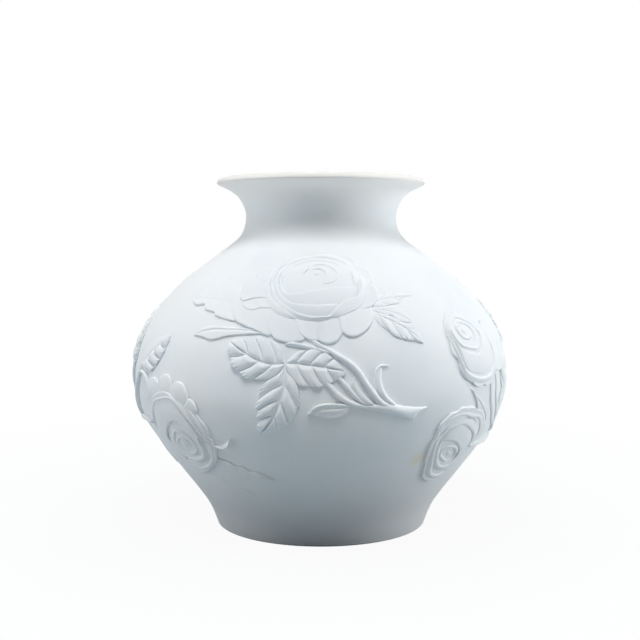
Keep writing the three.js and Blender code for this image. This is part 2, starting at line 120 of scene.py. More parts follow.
stations = [
    pot["foot"],
    *between(pot["foot"], pot["belly"], pot["lowerWall"]),
    pot["belly"],
    *between(pot["belly"], pot["neck"], pot["shoulder"]),
    pot["neck"],
    *between(pot["neck"], pot["lip"], pot["flare"]),
    pot["lip"],
]
wallLine = splineThrough(stations, 60 * (len(stations) - 1) + 1)
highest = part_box("vase_body")[1]
wallLine[:, 0] *= highest.x / mm / pot["belly"][0]
wallAlong = np.concatenate([[0], np.cumsum(np.linalg.norm(np.diff(wallLine, axis=0), axis=1))])
wallAlong -= np.interp(pot["belly"][1], wallLine[:, 1], wallAlong)
wallSlope = headings(wallLine)
wallOut = np.stack([wallSlope[:, 1], -wallSlope[:, 0]], 1)


def wallAt(rise, table):
    return np.interp(rise, wallAlong, table)


def onWall(place, x, y, lift):
    # A point x to the right of a place and y up the wall from it, standing lift off the wall:
    # azimuth is the place's own plus x over the wall's radius at that height.
    azimuth, rise = place
    rise = rise + y
    radius = wallAt(rise, wallLine[:, 0])
    turn = math.radians(azimuth) + x / radius
    out = radius + wallAt(rise, wallOut[:, 0]) * lift
    height = wallAt(rise, wallLine[:, 1]) + wallAt(rise, wallOut[:, 1]) * lift
    return np.stack([out * np.sin(turn), -out * np.cos(turn), height], -1) * mm


# Meshes

def shellFaces(rows):
    # Closes a grid of rows, wrapped round its columns, with one point at each end.
    count, columns = rows.shape[0] - 2, rows.shape[1]
    points = np.vstack([rows[0].mean(0), rows[1:-1].reshape(-1, 3), rows[-1].mean(0)])
    j = np.arange(columns)
    k = (j + 1) % columns
    start = 1 + columns * np.arange(count - 1)[:, None]
    quads = np.stack([start + j, start + k, start + columns + k, start + columns + j], -1).reshape(-1, 4)
    first = np.stack([np.zeros(columns, int), 1 + k, 1 + j], -1)
    top = 1 + columns * (count - 1)
    final = np.stack([np.full(columns, top + columns), top + j, top + k], -1)
    triangles = np.vstack([first, final])
    a, b, c, d = (points[quads[:, n]] for n in range(4))
    e, f, g = (points[triangles[:, n]] for n in range(3))
    volume = (a * np.cross(b, c)).sum() + (a * np.cross(c, d)).sum() + (e * np.cross(f, g)).sum()
    if volume < 0:
        quads, triangles = quads[:, ::-1], triangles[:, ::-1]
    return points, quads, triangles


def addPiece(name, shells, material, slot, *nodes):
    # One mesh of several closed shells, which rides on the pot and stands for the CAD nodes.
    built = [shellFaces(rows) for rows in shells]
    offsets = np.cumsum([0] + [len(points) for points, _, _ in built])
    points = np.vstack([part[0] for part in built])
    quads = np.vstack([part[1] + n for part, n in zip(built, offsets)])
    triangles = np.vstack([part[2] + n for part, n in zip(built, offsets)])
    corners = np.concatenate([quads.ravel(), triangles.ravel()])
    sizes = np.concatenate([np.full(len(quads), 4), np.full(len(triangles), 3)])
    mesh = bpy.data.meshes.new(name)
    mesh.vertices.add(len(points))
    mesh.vertices.foreach_set("co", points.astype(np.float32).ravel())
    mesh.loops.add(len(corners))
    mesh.loops.foreach_set("vertex_index", corners.astype(np.int32))
    mesh.polygons.add(len(sizes))
    mesh.polygons.foreach_set("loop_start", (np.cumsum(sizes) - sizes).astype(np.int32))
    mesh.update(calc_edges=True)
    mesh.validate()
    mesh.polygons.foreach_set("use_smooth", np.ones(len(mesh.polygons), bool))
    mesh.materials.append(material)
    piece = bpy.data.objects.new(name, mesh)
    bpy.context.scene.collection.objects.link(piece)
    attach(piece, bodyName)
    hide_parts(*nodes)


# Relief: petals, bands, leaves and stems, each a closed shell sunk a little into the wall

sunk = 0.6


def petalShell(place, rim, middle, relief=1.0, edge=0.55, roll=0.2, rollWidth=1.8, columns=132, rings=14):
    # A petal from its middle out to a closed free edge: lift goes from the middle's to the edge's with
    # the square of the share of the way out, plus a low roll, exp(-(distance to the edge / width)^2).
    # Relief scales the lifts. The edge is a quarter round, and its side drops straight into the wall.
    loop = evenly(np.array(rim) * (1, 1, relief), columns, closed=True)
    ahead = np.roll(loop, -1, 0)[:, :2] - np.roll(loop, 1, 0)[:, :2]
    ahead /= np.linalg.norm(ahead, axis=1)[:, None]
    area = (loop[:, 0] * np.roll(loop[:, 1], -1) - loop[:, 1] * np.roll(loop[:, 0], -1)).sum()
    inward = np.stack([-ahead[:, 1], ahead[:, 0]], 1) * np.sign(area)
    inset = loop[:, :2] + inward * edge
    middle = np.array(middle) * (1, 1, relief)
    reach = np.linalg.norm(inset - middle[:2], axis=1)
    share = (1 - (1 - np.linspace(0, 1, rings)) ** 1.5)[:, None]
    rolled = roll * np.exp(-(((1 - share) * reach / rollWidth) ** 2))
    faceLift = middle[2] + (loop[:, 2] - middle[2]) * share**2 + rolled
    face = middle[:2] + (inset - middle[:2]) * share[..., None]
    angle = np.linspace(0, math.pi / 2, 7)[1:, None]
    side = inset + (loop[:, :2] - inset) * np.sin(angle)[..., None]
    sideLift = faceLift[-1] - edge * (1 - np.cos(angle))
    under = middle[:2] + (loop[:, :2] - middle[:2]) * np.array([1, 0.7, 0.4, 0.15, 0])[:, None, None]
    underLift = np.full(under.shape[:2], -sunk)
    flat = np.concatenate([face, side, under])
    lift = np.concatenate([faceLift, np.maximum(sideLift, -sunk), underLift])
    return onWall(place, flat[..., 0], flat[..., 1], lift)


def withEnds(rows):
    # Adds a row at either end, drawn together at the middle of the row beside it.
    first, last = (np.broadcast_to(row.mean(0), row.shape)[None] for row in (rows[0], rows[-1]))
    return np.concatenate([first, rows, last])


def bandShell(place, rails, relief=1.0, lip=0.35, foot=0.35, bead=0.08, swell=0.18, fall=1.3,
              rows=100, columns=12):
    # A petal seen from outside, between a free rim and its foot. Each rail point is rim x, y, lift
    # and foot x, y, lift, and relief scales the lifts. Across the face the lift goes from the rim's to
    # the foot's with share^fall, plus swell * sin(pi * share). The rim has a rounded lip, and 1 mm
    # behind it a bead, bead * exp(-((distance - 1) / 0.6)^2) * (1 - share).
    rail = splineThrough(np.array(rails) * (1, 1, relief, 1, 1, relief), rows)
    rim, base = rail[:, :3], rail[:, 3:]
    across = base[:, :2] - rim[:, :2]
    width = np.linalg.norm(across, axis=1)[:, None]
    across = across / width
    lips = np.minimum(lip, 0.3 * width)
    feet = np.minimum(foot, 0.3 * width)
    angle = np.linspace(0, math.pi / 2, 5)
    share = np.linspace(0, 1, columns)[1:]
    lipAway = lips * (1 - np.cos(angle))
    lipLift = rim[:, 2:] - lips * (1 - np.sin(angle))
    away = lips + (width - lips - feet) * share
    faceLift = rim[:, 2:] + (base[:, 2:] - rim[:, 2:]) * share**fall + swell * np.sin(math.pi * share)
    faceLift = faceLift + bead * np.exp(-(((away - 1) / 0.6) ** 2)) * (1 - share)
    footAway = width - feet * (1 - np.sin(angle[1:]))
    footLift = base[:, 2:] - feet * (1 - np.cos(angle[1:]))
    zero = np.zeros((rows, 1))
    away = np.hstack([zero, lipAway, away, footAway, width])
    lift = np.hstack([zero - sunk, lipLift, faceLift, footLift, zero - sunk])
    flat = rim[:, None, :2] + across[:, None, :] * away[..., None]
    flat, lift = withEnds(flat), withEnds(lift)
    return onWall(place, flat[..., 0], flat[..., 1], lift)


def beside(axis, left, right):
    # A midrib, and the two margins that stand the given half widths off it.
    count = 16
    line = evenly(axis, count)
    course = headings(line)
    across = np.stack([-course[:, 1], course[:, 0]], 1)
    stops = np.linspace(0, count - 1, len(left))
    margins = [line + sign * across * np.interp(np.arange(count), stops, half)[:, None]
               for sign, half in ((1, left), (-1, right))]
    for margin in margins:
        margin[0] = axis[0]
    return {"midrib": axis, "margins": margins}


def leafShell(place, midrib, margins, veins=None, pads=4, lift=1.1, rims=(0.9, 0.9), pad=1.1,
              groove=0.65, teeth=0.6, toothStep=2.0, scallop=0.4, bow=0.08, edge=0.25, base=0.4,
              rolls=(0.0, 0.0), rows=200, columns=20):
    # A leaf between its midrib and two margins. A row leaves the midrib at share q of its length and
    # meets each margin where the side veins say, bowed back towards the base as 4s(1 - s). With f running
    # from 0 to 1 between two veins, the blade swells by pad * (1 - |2f - 1|^2.6) and its margin bulges
    # as 1 - |2f - 1|^3. The midrib and the side veins are grooves, exp(-(distance / width)^2), and a
    # margin may curl up. Each margin is a saw whose teeth lean to the tip, with a notch between them,
    # and drops in a quarter round. Rims, rolls and veins go by half, and so may pad.
    if veins is None:
        leave = (np.arange(1, pads) - 0.4) / pads
        veins = [np.stack([leave, leave + 0.24 * (1 - leave)], 1)] * 2
    fine = 240
    spine = evenly(midrib, fine)
    course = headings(spine)
    at = np.linspace(0, 1, fine)
    q = np.linspace(0.004, 0.996, rows)
    s = np.linspace(0, 1, columns)
    start = np.stack([np.interp(q, at, spine[:, n]) for n in (0, 1)], 1)
    towards = np.stack([np.interp(q, at, course[:, n]) for n in (0, 1)], 1)
    ends = (base + (1 - base) * smooth(0, 0.2, q) * smooth(0, 0.05, 1 - q))[:, None]
    angle = np.linspace(0, math.pi / 2, 5)[1:]
    halves = []
    for margin, pairs, rim, curl, swell in zip(margins, veins, rims, rolls, np.broadcast_to(pad, 2)):
        line = evenly(margin, fine)
        length = np.linalg.norm(np.diff(line, axis=0), axis=1).sum()
        pairs = np.array([(0, 0), *pairs, (1, 1)], float)
        meet = np.interp(q, pairs[:, 0], pairs[:, 1])
        crest = np.abs(2 * (np.interp(q, pairs[:, 0], np.arange(len(pairs))) % 1) - 1)[:, None]
        end = np.stack([np.interp(meet, at, line[:, n]) for n in (0, 1)], 1)
        reach = np.maximum(np.linalg.norm(end - start, axis=1), 0.01)[:, None]
        outward = (end - start) / reach
        tooth = (meet * length / toothStep)[:, None] % 1
        notch = np.exp(-((np.minimum(tooth, 1 - tooth) / 0.2) ** 2))
        bulge = teeth * (tooth - 0.5) - min(teeth, scallop) * crest**3
        end = end + outward * bulge * np.minimum(1, 0.4 * reach)
        inset = end - outward * np.minimum(edge, 0.4 * reach)
        away = reach * s
        fade = smooth(0, 0.3, s) * (1 - 0.35 * s**4) * np.minimum(1, reach / 4)
        face = lift + (rim - lift) * s**1.4 + swell * (1 - crest**2.6) * fade
        face = face - 0.42 * swell * np.exp(-(((1 - crest) / 0.12) ** 2)) * fade
        face = face - groove * np.exp(-((away / 0.5) ** 2)) + curl * np.exp(-(((reach - away) / 0.7) ** 2))
        face = face - teeth * notch * smooth(0.84, 1, s)
        face = np.maximum(face * ends, 0.03)
        flat = start[:, None] + (inset - start)[:, None] * s[:, None]
        flat = flat - towards[:, None] * (bow * 4 * s * (1 - s) * reach)[..., None]
        side = inset[:, None] + (end - inset)[:, None] * np.sin(angle)[:, None]
        sideLift = face[:, -1:] - np.minimum(edge, 0.8 * face[:, -1:]) * (1 - np.cos(angle))
        flat = np.concatenate([flat, side, end[:, None]], 1)
        height = np.hstack([face, sideLift, np.full((rows, 1), -sunk)])
        halves.append(np.concatenate([flat, height[..., None]], 2))
    below = np.concatenate([start, np.full((rows, 1), -sunk)], 1)[:, None]
    grid = np.concatenate([halves[0][:, ::-1], halves[1][:, 1:], below], 1)
    tips = [np.array([*spine[n], 0.3 * lift * base]) + np.zeros((1, grid.shape[1], 1)) for n in (0, -1)]
    grid = np.concatenate([tips[0], grid, tips[1]])
    return onWall(place, grid[..., 0], grid[..., 1], grid[..., 2])


def stemShell(place, path, heel=0.0, hollow=0.0, slant=0.0, rows=120, columns=20):
    # A stem of half-round section along a path of x, y, width and lift. Its first end is cut, dished by
    # hollow, slanted by slant times the lift, and drawn out into a heel on one side as the cube of the
    # share across; its last tapers off.
    line = evenly(path, rows)
    step = headings(line[:, :2])
    angle = np.linspace(0, math.pi, columns)
    side = np.cos(angle)
    height = np.sin(angle) ** 0.85
    away = line[:, 2:3] / 2 * side
    lift = line[:, 3:4] * height
    share = np.linspace(0, 1, rows)[:, None]
    drawn = (heel * ((1 - side) / 2) ** 3 - slant * lift) * (1 - smooth(0, 0.2, share))
    x = line[:, :1] - away * step[:, 1:] - drawn * step[:, :1]
    y = line[:, 1:2] + away * step[:, :1] - drawn * step[:, 1:]
    skirts = [np.stack([x[:, n], y[:, n], np.full(rows, -sunk)], -1)[:, None] for n in (0, -1)]
    over = np.stack([x, y, lift], -1)
    grid = np.concatenate([skirts[0], over, skirts[1]], 1)
    middle = grid[0].mean(0) + np.array([*(step[0] * hollow), -0.2])
    dish = (0.45 * grid[:1] + 0.55 * middle) + np.array([*(step[0] * hollow), 0]) * 0.3
    start = middle + np.zeros((1, grid.shape[1], 1))
    finish = np.array([*(line[-1, :2] + step[-1] * 0.3), 0.1]) + np.zeros((1, grid.shape[1], 1))
    grid = np.concatenate([start, dish, grid, finish])
    return onWall(place, grid[..., 0], grid[..., 1], grid[..., 2])


def lobe(angle, half, inner, outer, lifts):
    # Closed edge of a petal laid out in polar form: reach = outer * (1 - 0.1 t^2 - 0.12 t^4) for t from
    # -1 to 1 over its half angle, closed by an arc at the inner radius. Lifts are left, middle, right.
    t = np.linspace(-1, 1, 7)
    reach = outer * (1 - 0.1 * t**2 - 0.12 * t**4)
    turn = np.radians(angle - half * t)
    lift = np.interp(t, [-1, 0, 1], lifts)
    far = np.stack([reach * np.cos(turn), reach * np.sin(turn), lift], 1)
    back = np.radians(angle + half * np.array([0.55, 0, -0.55]))
    near = np.stack([inner * np.cos(back), inner * np.sin(back), np.full(3, min(lifts) - 0.2)], 1)
    middle = np.radians(angle)
    centre = (0.5 * (inner + outer) * math.cos(middle), 0.5 * (inner + outer) * math.sin(middle),
              np.mean(lifts) - 0.15)
    return np.vstack([far, near[::-1]])[::-1], centre


# The front rose, in millimetres about its own middle

frontRose = {
    "place": (-1.8, 53.0),
    "relief": 1.0,  # share of the lifts below
    "bead": 0.08,   # millimetres, the roll behind each free rim
    "guards": [
        # closed free edge as x, y, lift; then the middle
        ([(-38.2, -11.5, 1.2), (-37.6, -16.4, 1.3), (-35.2, -20.2, 1.3), (-30.9, -22.4, 1.3),
          (-25.8, -24.4, 1.2), (-22.2, -26.1, 1.1), (-18.8, -26.2, 0.8), (-15.5, -20, 0.6),
          (-17, -10, 0.7), (-27, -6.5, 0.9), (-35, -7.5, 1.1)], (-26.5, -15, 1.4)),
        ([(-20.2, -20.5, 0.9), (-19.5, -24.6, 1), (-17.2, -27.9, 1.1), (-14.1, -29.2, 1.1),
          (-10.9, -29.8, 1), (-7.8, -29.3, 0.9), (-4.6, -28.4, 0.7), (-2.4, -25, 0.6), (-3, -17, 0.5),
          (-10, -11, 0.6), (-17, -14, 0.8)], (-12, -21, 1.2)),
        ([(-2, -22, 0.7), (0, -26.6, 0.9), (2.2, -29.2, 1.1), (5.3, -30.1, 1.2),
          (8.6, -29.3, 1.1), (11, -27.1, 0.9), (12.4, -22.5, 0.7), (11, -14, 0.6),
          (4, -12, 0.6)], (5, -21, 1.2)),
        ([(-8.6, -16.5, 1.1), (-7.7, -21.5, 1.2), (-6.2, -25.4, 1.2), (-3.6, -27.9, 1.2),
          (-0.4, -28.9, 1.2), (2.6, -28.2, 0.9), (4.5, -23, 0.7), (4, -14, 0.7),
          (-3, -12, 0.9)], (-2, -20.5, 1.3)),
        ([(10.4, -15, 1.1), (10.4, -19.5, 1.2), (11, -23.6, 1.2), (13.2, -26.2, 1.2),
          (16.2, -27, 1.2), (19.4, -26, 1.1), (22, -24.1, 1), (24.2, -21.2, 0.9),
          (25.3, -16.5, 0.7), (23, -9, 0.6), (15, -8.5, 0.9)], (17, -17.5, 1.3)),
        ([(-33, -5.5, 1.3), (-33.6, -9, 1.4), (-33, -12.2, 1.5), (-30.3, -14.4, 1.5),
          (-27.2, -14.8, 1.5), (-24.2, -13.7, 1.5), (-19, -13.2, 1.2), (-15.5, -10, 0.9),
          (-18, -4, 0.9), (-27, -3.5, 1.2)], (-25, -8.5, 1.5)),
        ([(-30, 5, 1), (-33.6, 3.4, 1.2), (-34.3, -1.2, 1.4), (-34.8, -5, 1.6),
          (-34.3, -8.5, 1.8), (-32.2, -10.3, 1.8), (-29.4, -9.2, 1.8), (-25, -8.2, 1.6),
          (-20.5, -7.8, 1.4), (-16, -3, 1), (-19, 5, 1)], (-26, -1.5, 1.5)),
        ([(-21, 13.5, 0.5), (-25.2, 12.4, 0.6), (-27.9, 8.8, 0.7), (-27.7, 4.6, 0.9),
          (-25, 2.3, 1.2), (-21, 1, 1.3), (-16.5, 3, 1), (-16, 11, 0.7)],
         (-22, 7, 1)),
    ],
    # angle, half angle, inner and outer reach, lifts: the guard petals behind and to the right
    "lobes": [
        (343, 20, 12, 28.2, (1.2, 1.3, 0.9)),
        (18, 22, 12, 26.4, (0.4, 0.45, 0.6)),
        (54, 21, 12, 25.8, (0.4, 0.45, 0.4)),
        (92, 22, 12, 25.4, (0.5, 0.6, 0.5)),
        (130, 18, 12, 24, (0.5, 0.45, 0.4)),
    ],
    "floor": ([(-20, 3, 1.4), (-20.5, -5, 1.4), (-16.8, -12.6, 1.4), (-8, -17, 1.4), (2, -17.8, 1.4),
               (12, -15, 1.4), (19.6, -9, 1.3), (20.6, 0, 1.3), (18.6, 9, 1.3), (12, 16.6, 1.3),
               (2, 20.2, 1.2), (-8, 18.6, 1.2), (-15.6, 12, 1.3)], (1.6, 4.6, 2.7)),
    # rim x, y, lift, then foot x, y, lift; each end dives under the petals beside it
    "bands": {
        "outerLeft": [(-14.6, 14.6, 0.6, -16, 16.2, 0.4), (-17.6, 9.4, 1.6, -20, 10.4, 1.1),
                      (-20, 2.4, 1.9, -22.4, 2.4, 1.2), (-20.8, -3.2, 2, -23, -4, 1.3),
                      (-18.6, -8.6, 2.1, -21.4, -10.6, 1.3), (-14.2, -13.2, 2.2, -16.8, -15.8, 1.4),
                      (-9.4, -17, 1.9, -11, -18.7, 1.3), (-6, -18.6, 1, -6.8, -19.4, 0.6)],
        "lower": [(-16, 12.2, 0.8, -17.6, 13.4, 0.6), (-18, 5.8, 1.9, -19.8, 6.2, 1.4),
                  (-18.9, -0.8, 2.2, -20.6, -1, 1.6), (-16.8, -7.4, 2.3, -18.8, -9, 1.6),
                  (-12.2, -12.3, 2.4, -14, -14.8, 1.7), (-7.4, -16, 2.5, -8.6, -18.2, 1.7),
                  (-1.4, -18, 2.5, -1.6, -19.8, 1.7), (4.6, -17.9, 2.4, 5, -19.2, 1.6),
                  (9, -16.2, 1.4, 9.8, -17.2, 1)],
        "middle": [(-14.4, 11, 0.9, -15.8, 12.2, 0.7), (-16, 4.6, 2.2, -17.8, 5.2, 1.7),
                   (-16.4, -1.8, 2.6, -18.4, -2.2, 2), (-14.4, -7, 2.7, -16.4, -9, 1.9),
                   (-10.2, -11, 2.8, -12, -14.2, 1.8), (-4.6, -12.1, 2.9, -5.6, -17, 1.7),
                   (1.4, -12.5, 2.9, 2.2, -18, 1.6), (7.4, -11.9, 2.7, 8.8, -16.8, 1.6),
                   (12.4, -10.4, 1.4, 14, -13.4, 1.1)],
        "face": [(-13.6, 8.4, 0.9, -15, 9.4, 0.7), (-14.6, 2.6, 2.6, -16.2, 3, 2.1),
                 (-14.4, -2.6, 2.9, -16, -3.8, 2.3), (-12.2, -6.3, 3.1, -13.8, -8.8, 2.4),
                 (-7.6, -6.4, 3.2, -8.8, -12, 2.3), (-1.8, -4.9, 3.2, -1.8, -13, 2.2),
                 (3.4, -3.6, 3.1, 5.8, -12.8, 2.2), (8.4, -2.4, 2.9, 12.2, -11.4, 2.2),
                 (13.2, -1.9, 2.3, 17.2, -8, 1.8), (17.4, -0.6, 1.4, 20.4, -3.6, 1)],
        "lowerRight": [(5, -17.4, 1.6, 6, -18.4, 1.2), (8.4, -14.4, 2.5, 10.6, -17.6, 1.7),
                       (11.5, -10.9, 2.8, 14.8, -15.6, 1.8), (14.6, -8.8, 2.8, 18.4, -13.4, 1.7),
                       (18, -7.4, 2.5, 21, -9.6, 1.6), (19.4, -3.4, 2.1, 22.4, -4, 1.4),
                       (19.2, 1.6, 1.7, 22.2, 2.2, 1.2), (17, 7, 0.7, 19.6, 8.4, 0.5)],
        "right": [(13, 10.4, 1, 15.2, 12.2, 0.8), (15.2, 6.6, 2, 18, 7.8, 1.5),
                  (16, 1.8, 2.1, 19.2, 2, 1.5), (15.4, -3, 1, 18.4, -3.8, 0.8)],
        "backLeft": [(-14.4, 9, 0.9, -16.2, 10.6, 0.7), (-11.4, 13.4, 1.5, -13.4, 15.8, 1.3),
                     (-6.4, 17, 1.6, -7.8, 19.8, 1.3), (-1.2, 18.6, 1.1, -1.6, 21.4, 0.8)],
        "backRight": [(-4, 17.4, 1, -5.2, 20, 0.8), (1.2, 18.9, 1.6, 1.6, 21.9, 1.3),
                      (6.6, 17.8, 1.6, 8.4, 20.6, 1.3), (11.6, 14.2, 1.5, 14, 16.6, 1.3),
                      (14.8, 9.6, 0.9, 17, 11, 0.7)],
        "backInner": [(-12.2, 7.4, 1, -14, 8.8, 0.8), (-8.4, 12.4, 1.9, -10.2, 14.6, 1.5),
                      (-2.8, 15.4, 2, -3.6, 18, 1.5), (3.6, 15.2, 2, 4.8, 17.8, 1.5),
                      (9, 12.2, 1.9, 11.2, 14.2, 1.4), (12, 7.4, 1, 14.2, 8.4, 0.8)],
        "heartLong": [(-4.2, 9, 1.4, -5.4, 10.4, 1.2), (-1, 11.6, 2.4, -1.6, 13.4, 2),
                      (3.2, 11.9, 2.6, 4.2, 13.6, 2.1), (6.8, 9.4, 2.6, 8.6, 10.8, 2),
                      (8.4, 5.8, 2.4, 10.6, 6.2, 1.9), (7.6, 2.4, 1.4, 9.8, 1.8, 1.2)],
        "heartLeft": [(-1.6, 9.6, 1.4, -2.6, 11, 1.2), (-3.6, 8.4, 2.8, -5.2, 9.4, 2.4),
                      (-4.6, 6.2, 2.7, -6.4, 6.2, 2.4), (-4.4, 4, 1.3, -6, 3.2, 1.1)],
        "heartLow": [(0.4, 0.6, 1.4, 0.6, -1, 1.2), (3.4, 0.2, 2.7, 4, -1.6, 2.4),
                     (6.6, 1.4, 2.8, 8, -0.2, 2.4), (8.6, 4.2, 2.2, 10.4, 3.8, 2),
                     (8.4, 6.4, 1.2, 10, 6.6, 1)],
        "heartCore": [(-2, 6, 1.5, -3, 6, 1.3), (-1.4, 7.8, 2.7, -2.4, 9, 2.4),
                      (1, 8.6, 3, 1.4, 10, 2.6), (3.4, 7, 3, 4.8, 7.8, 2.6),
                      (4, 4.4, 2.6, 5.4, 3.8, 2.4), (3.4, 2.6, 1.4, 4.4, 1.8, 1.2)],
    },
    "bud": ([(1.8, 5.6, 2.9), (0.6, 7.2, 3), (-0.9, 6.4, 3), (-0.9, 4.8, 2.9), (0.6, 4.4, 2.9)],
            (0.4, 5.8, 3)),
}

# The roses of a side spray, in millimetres about the middle of the spray

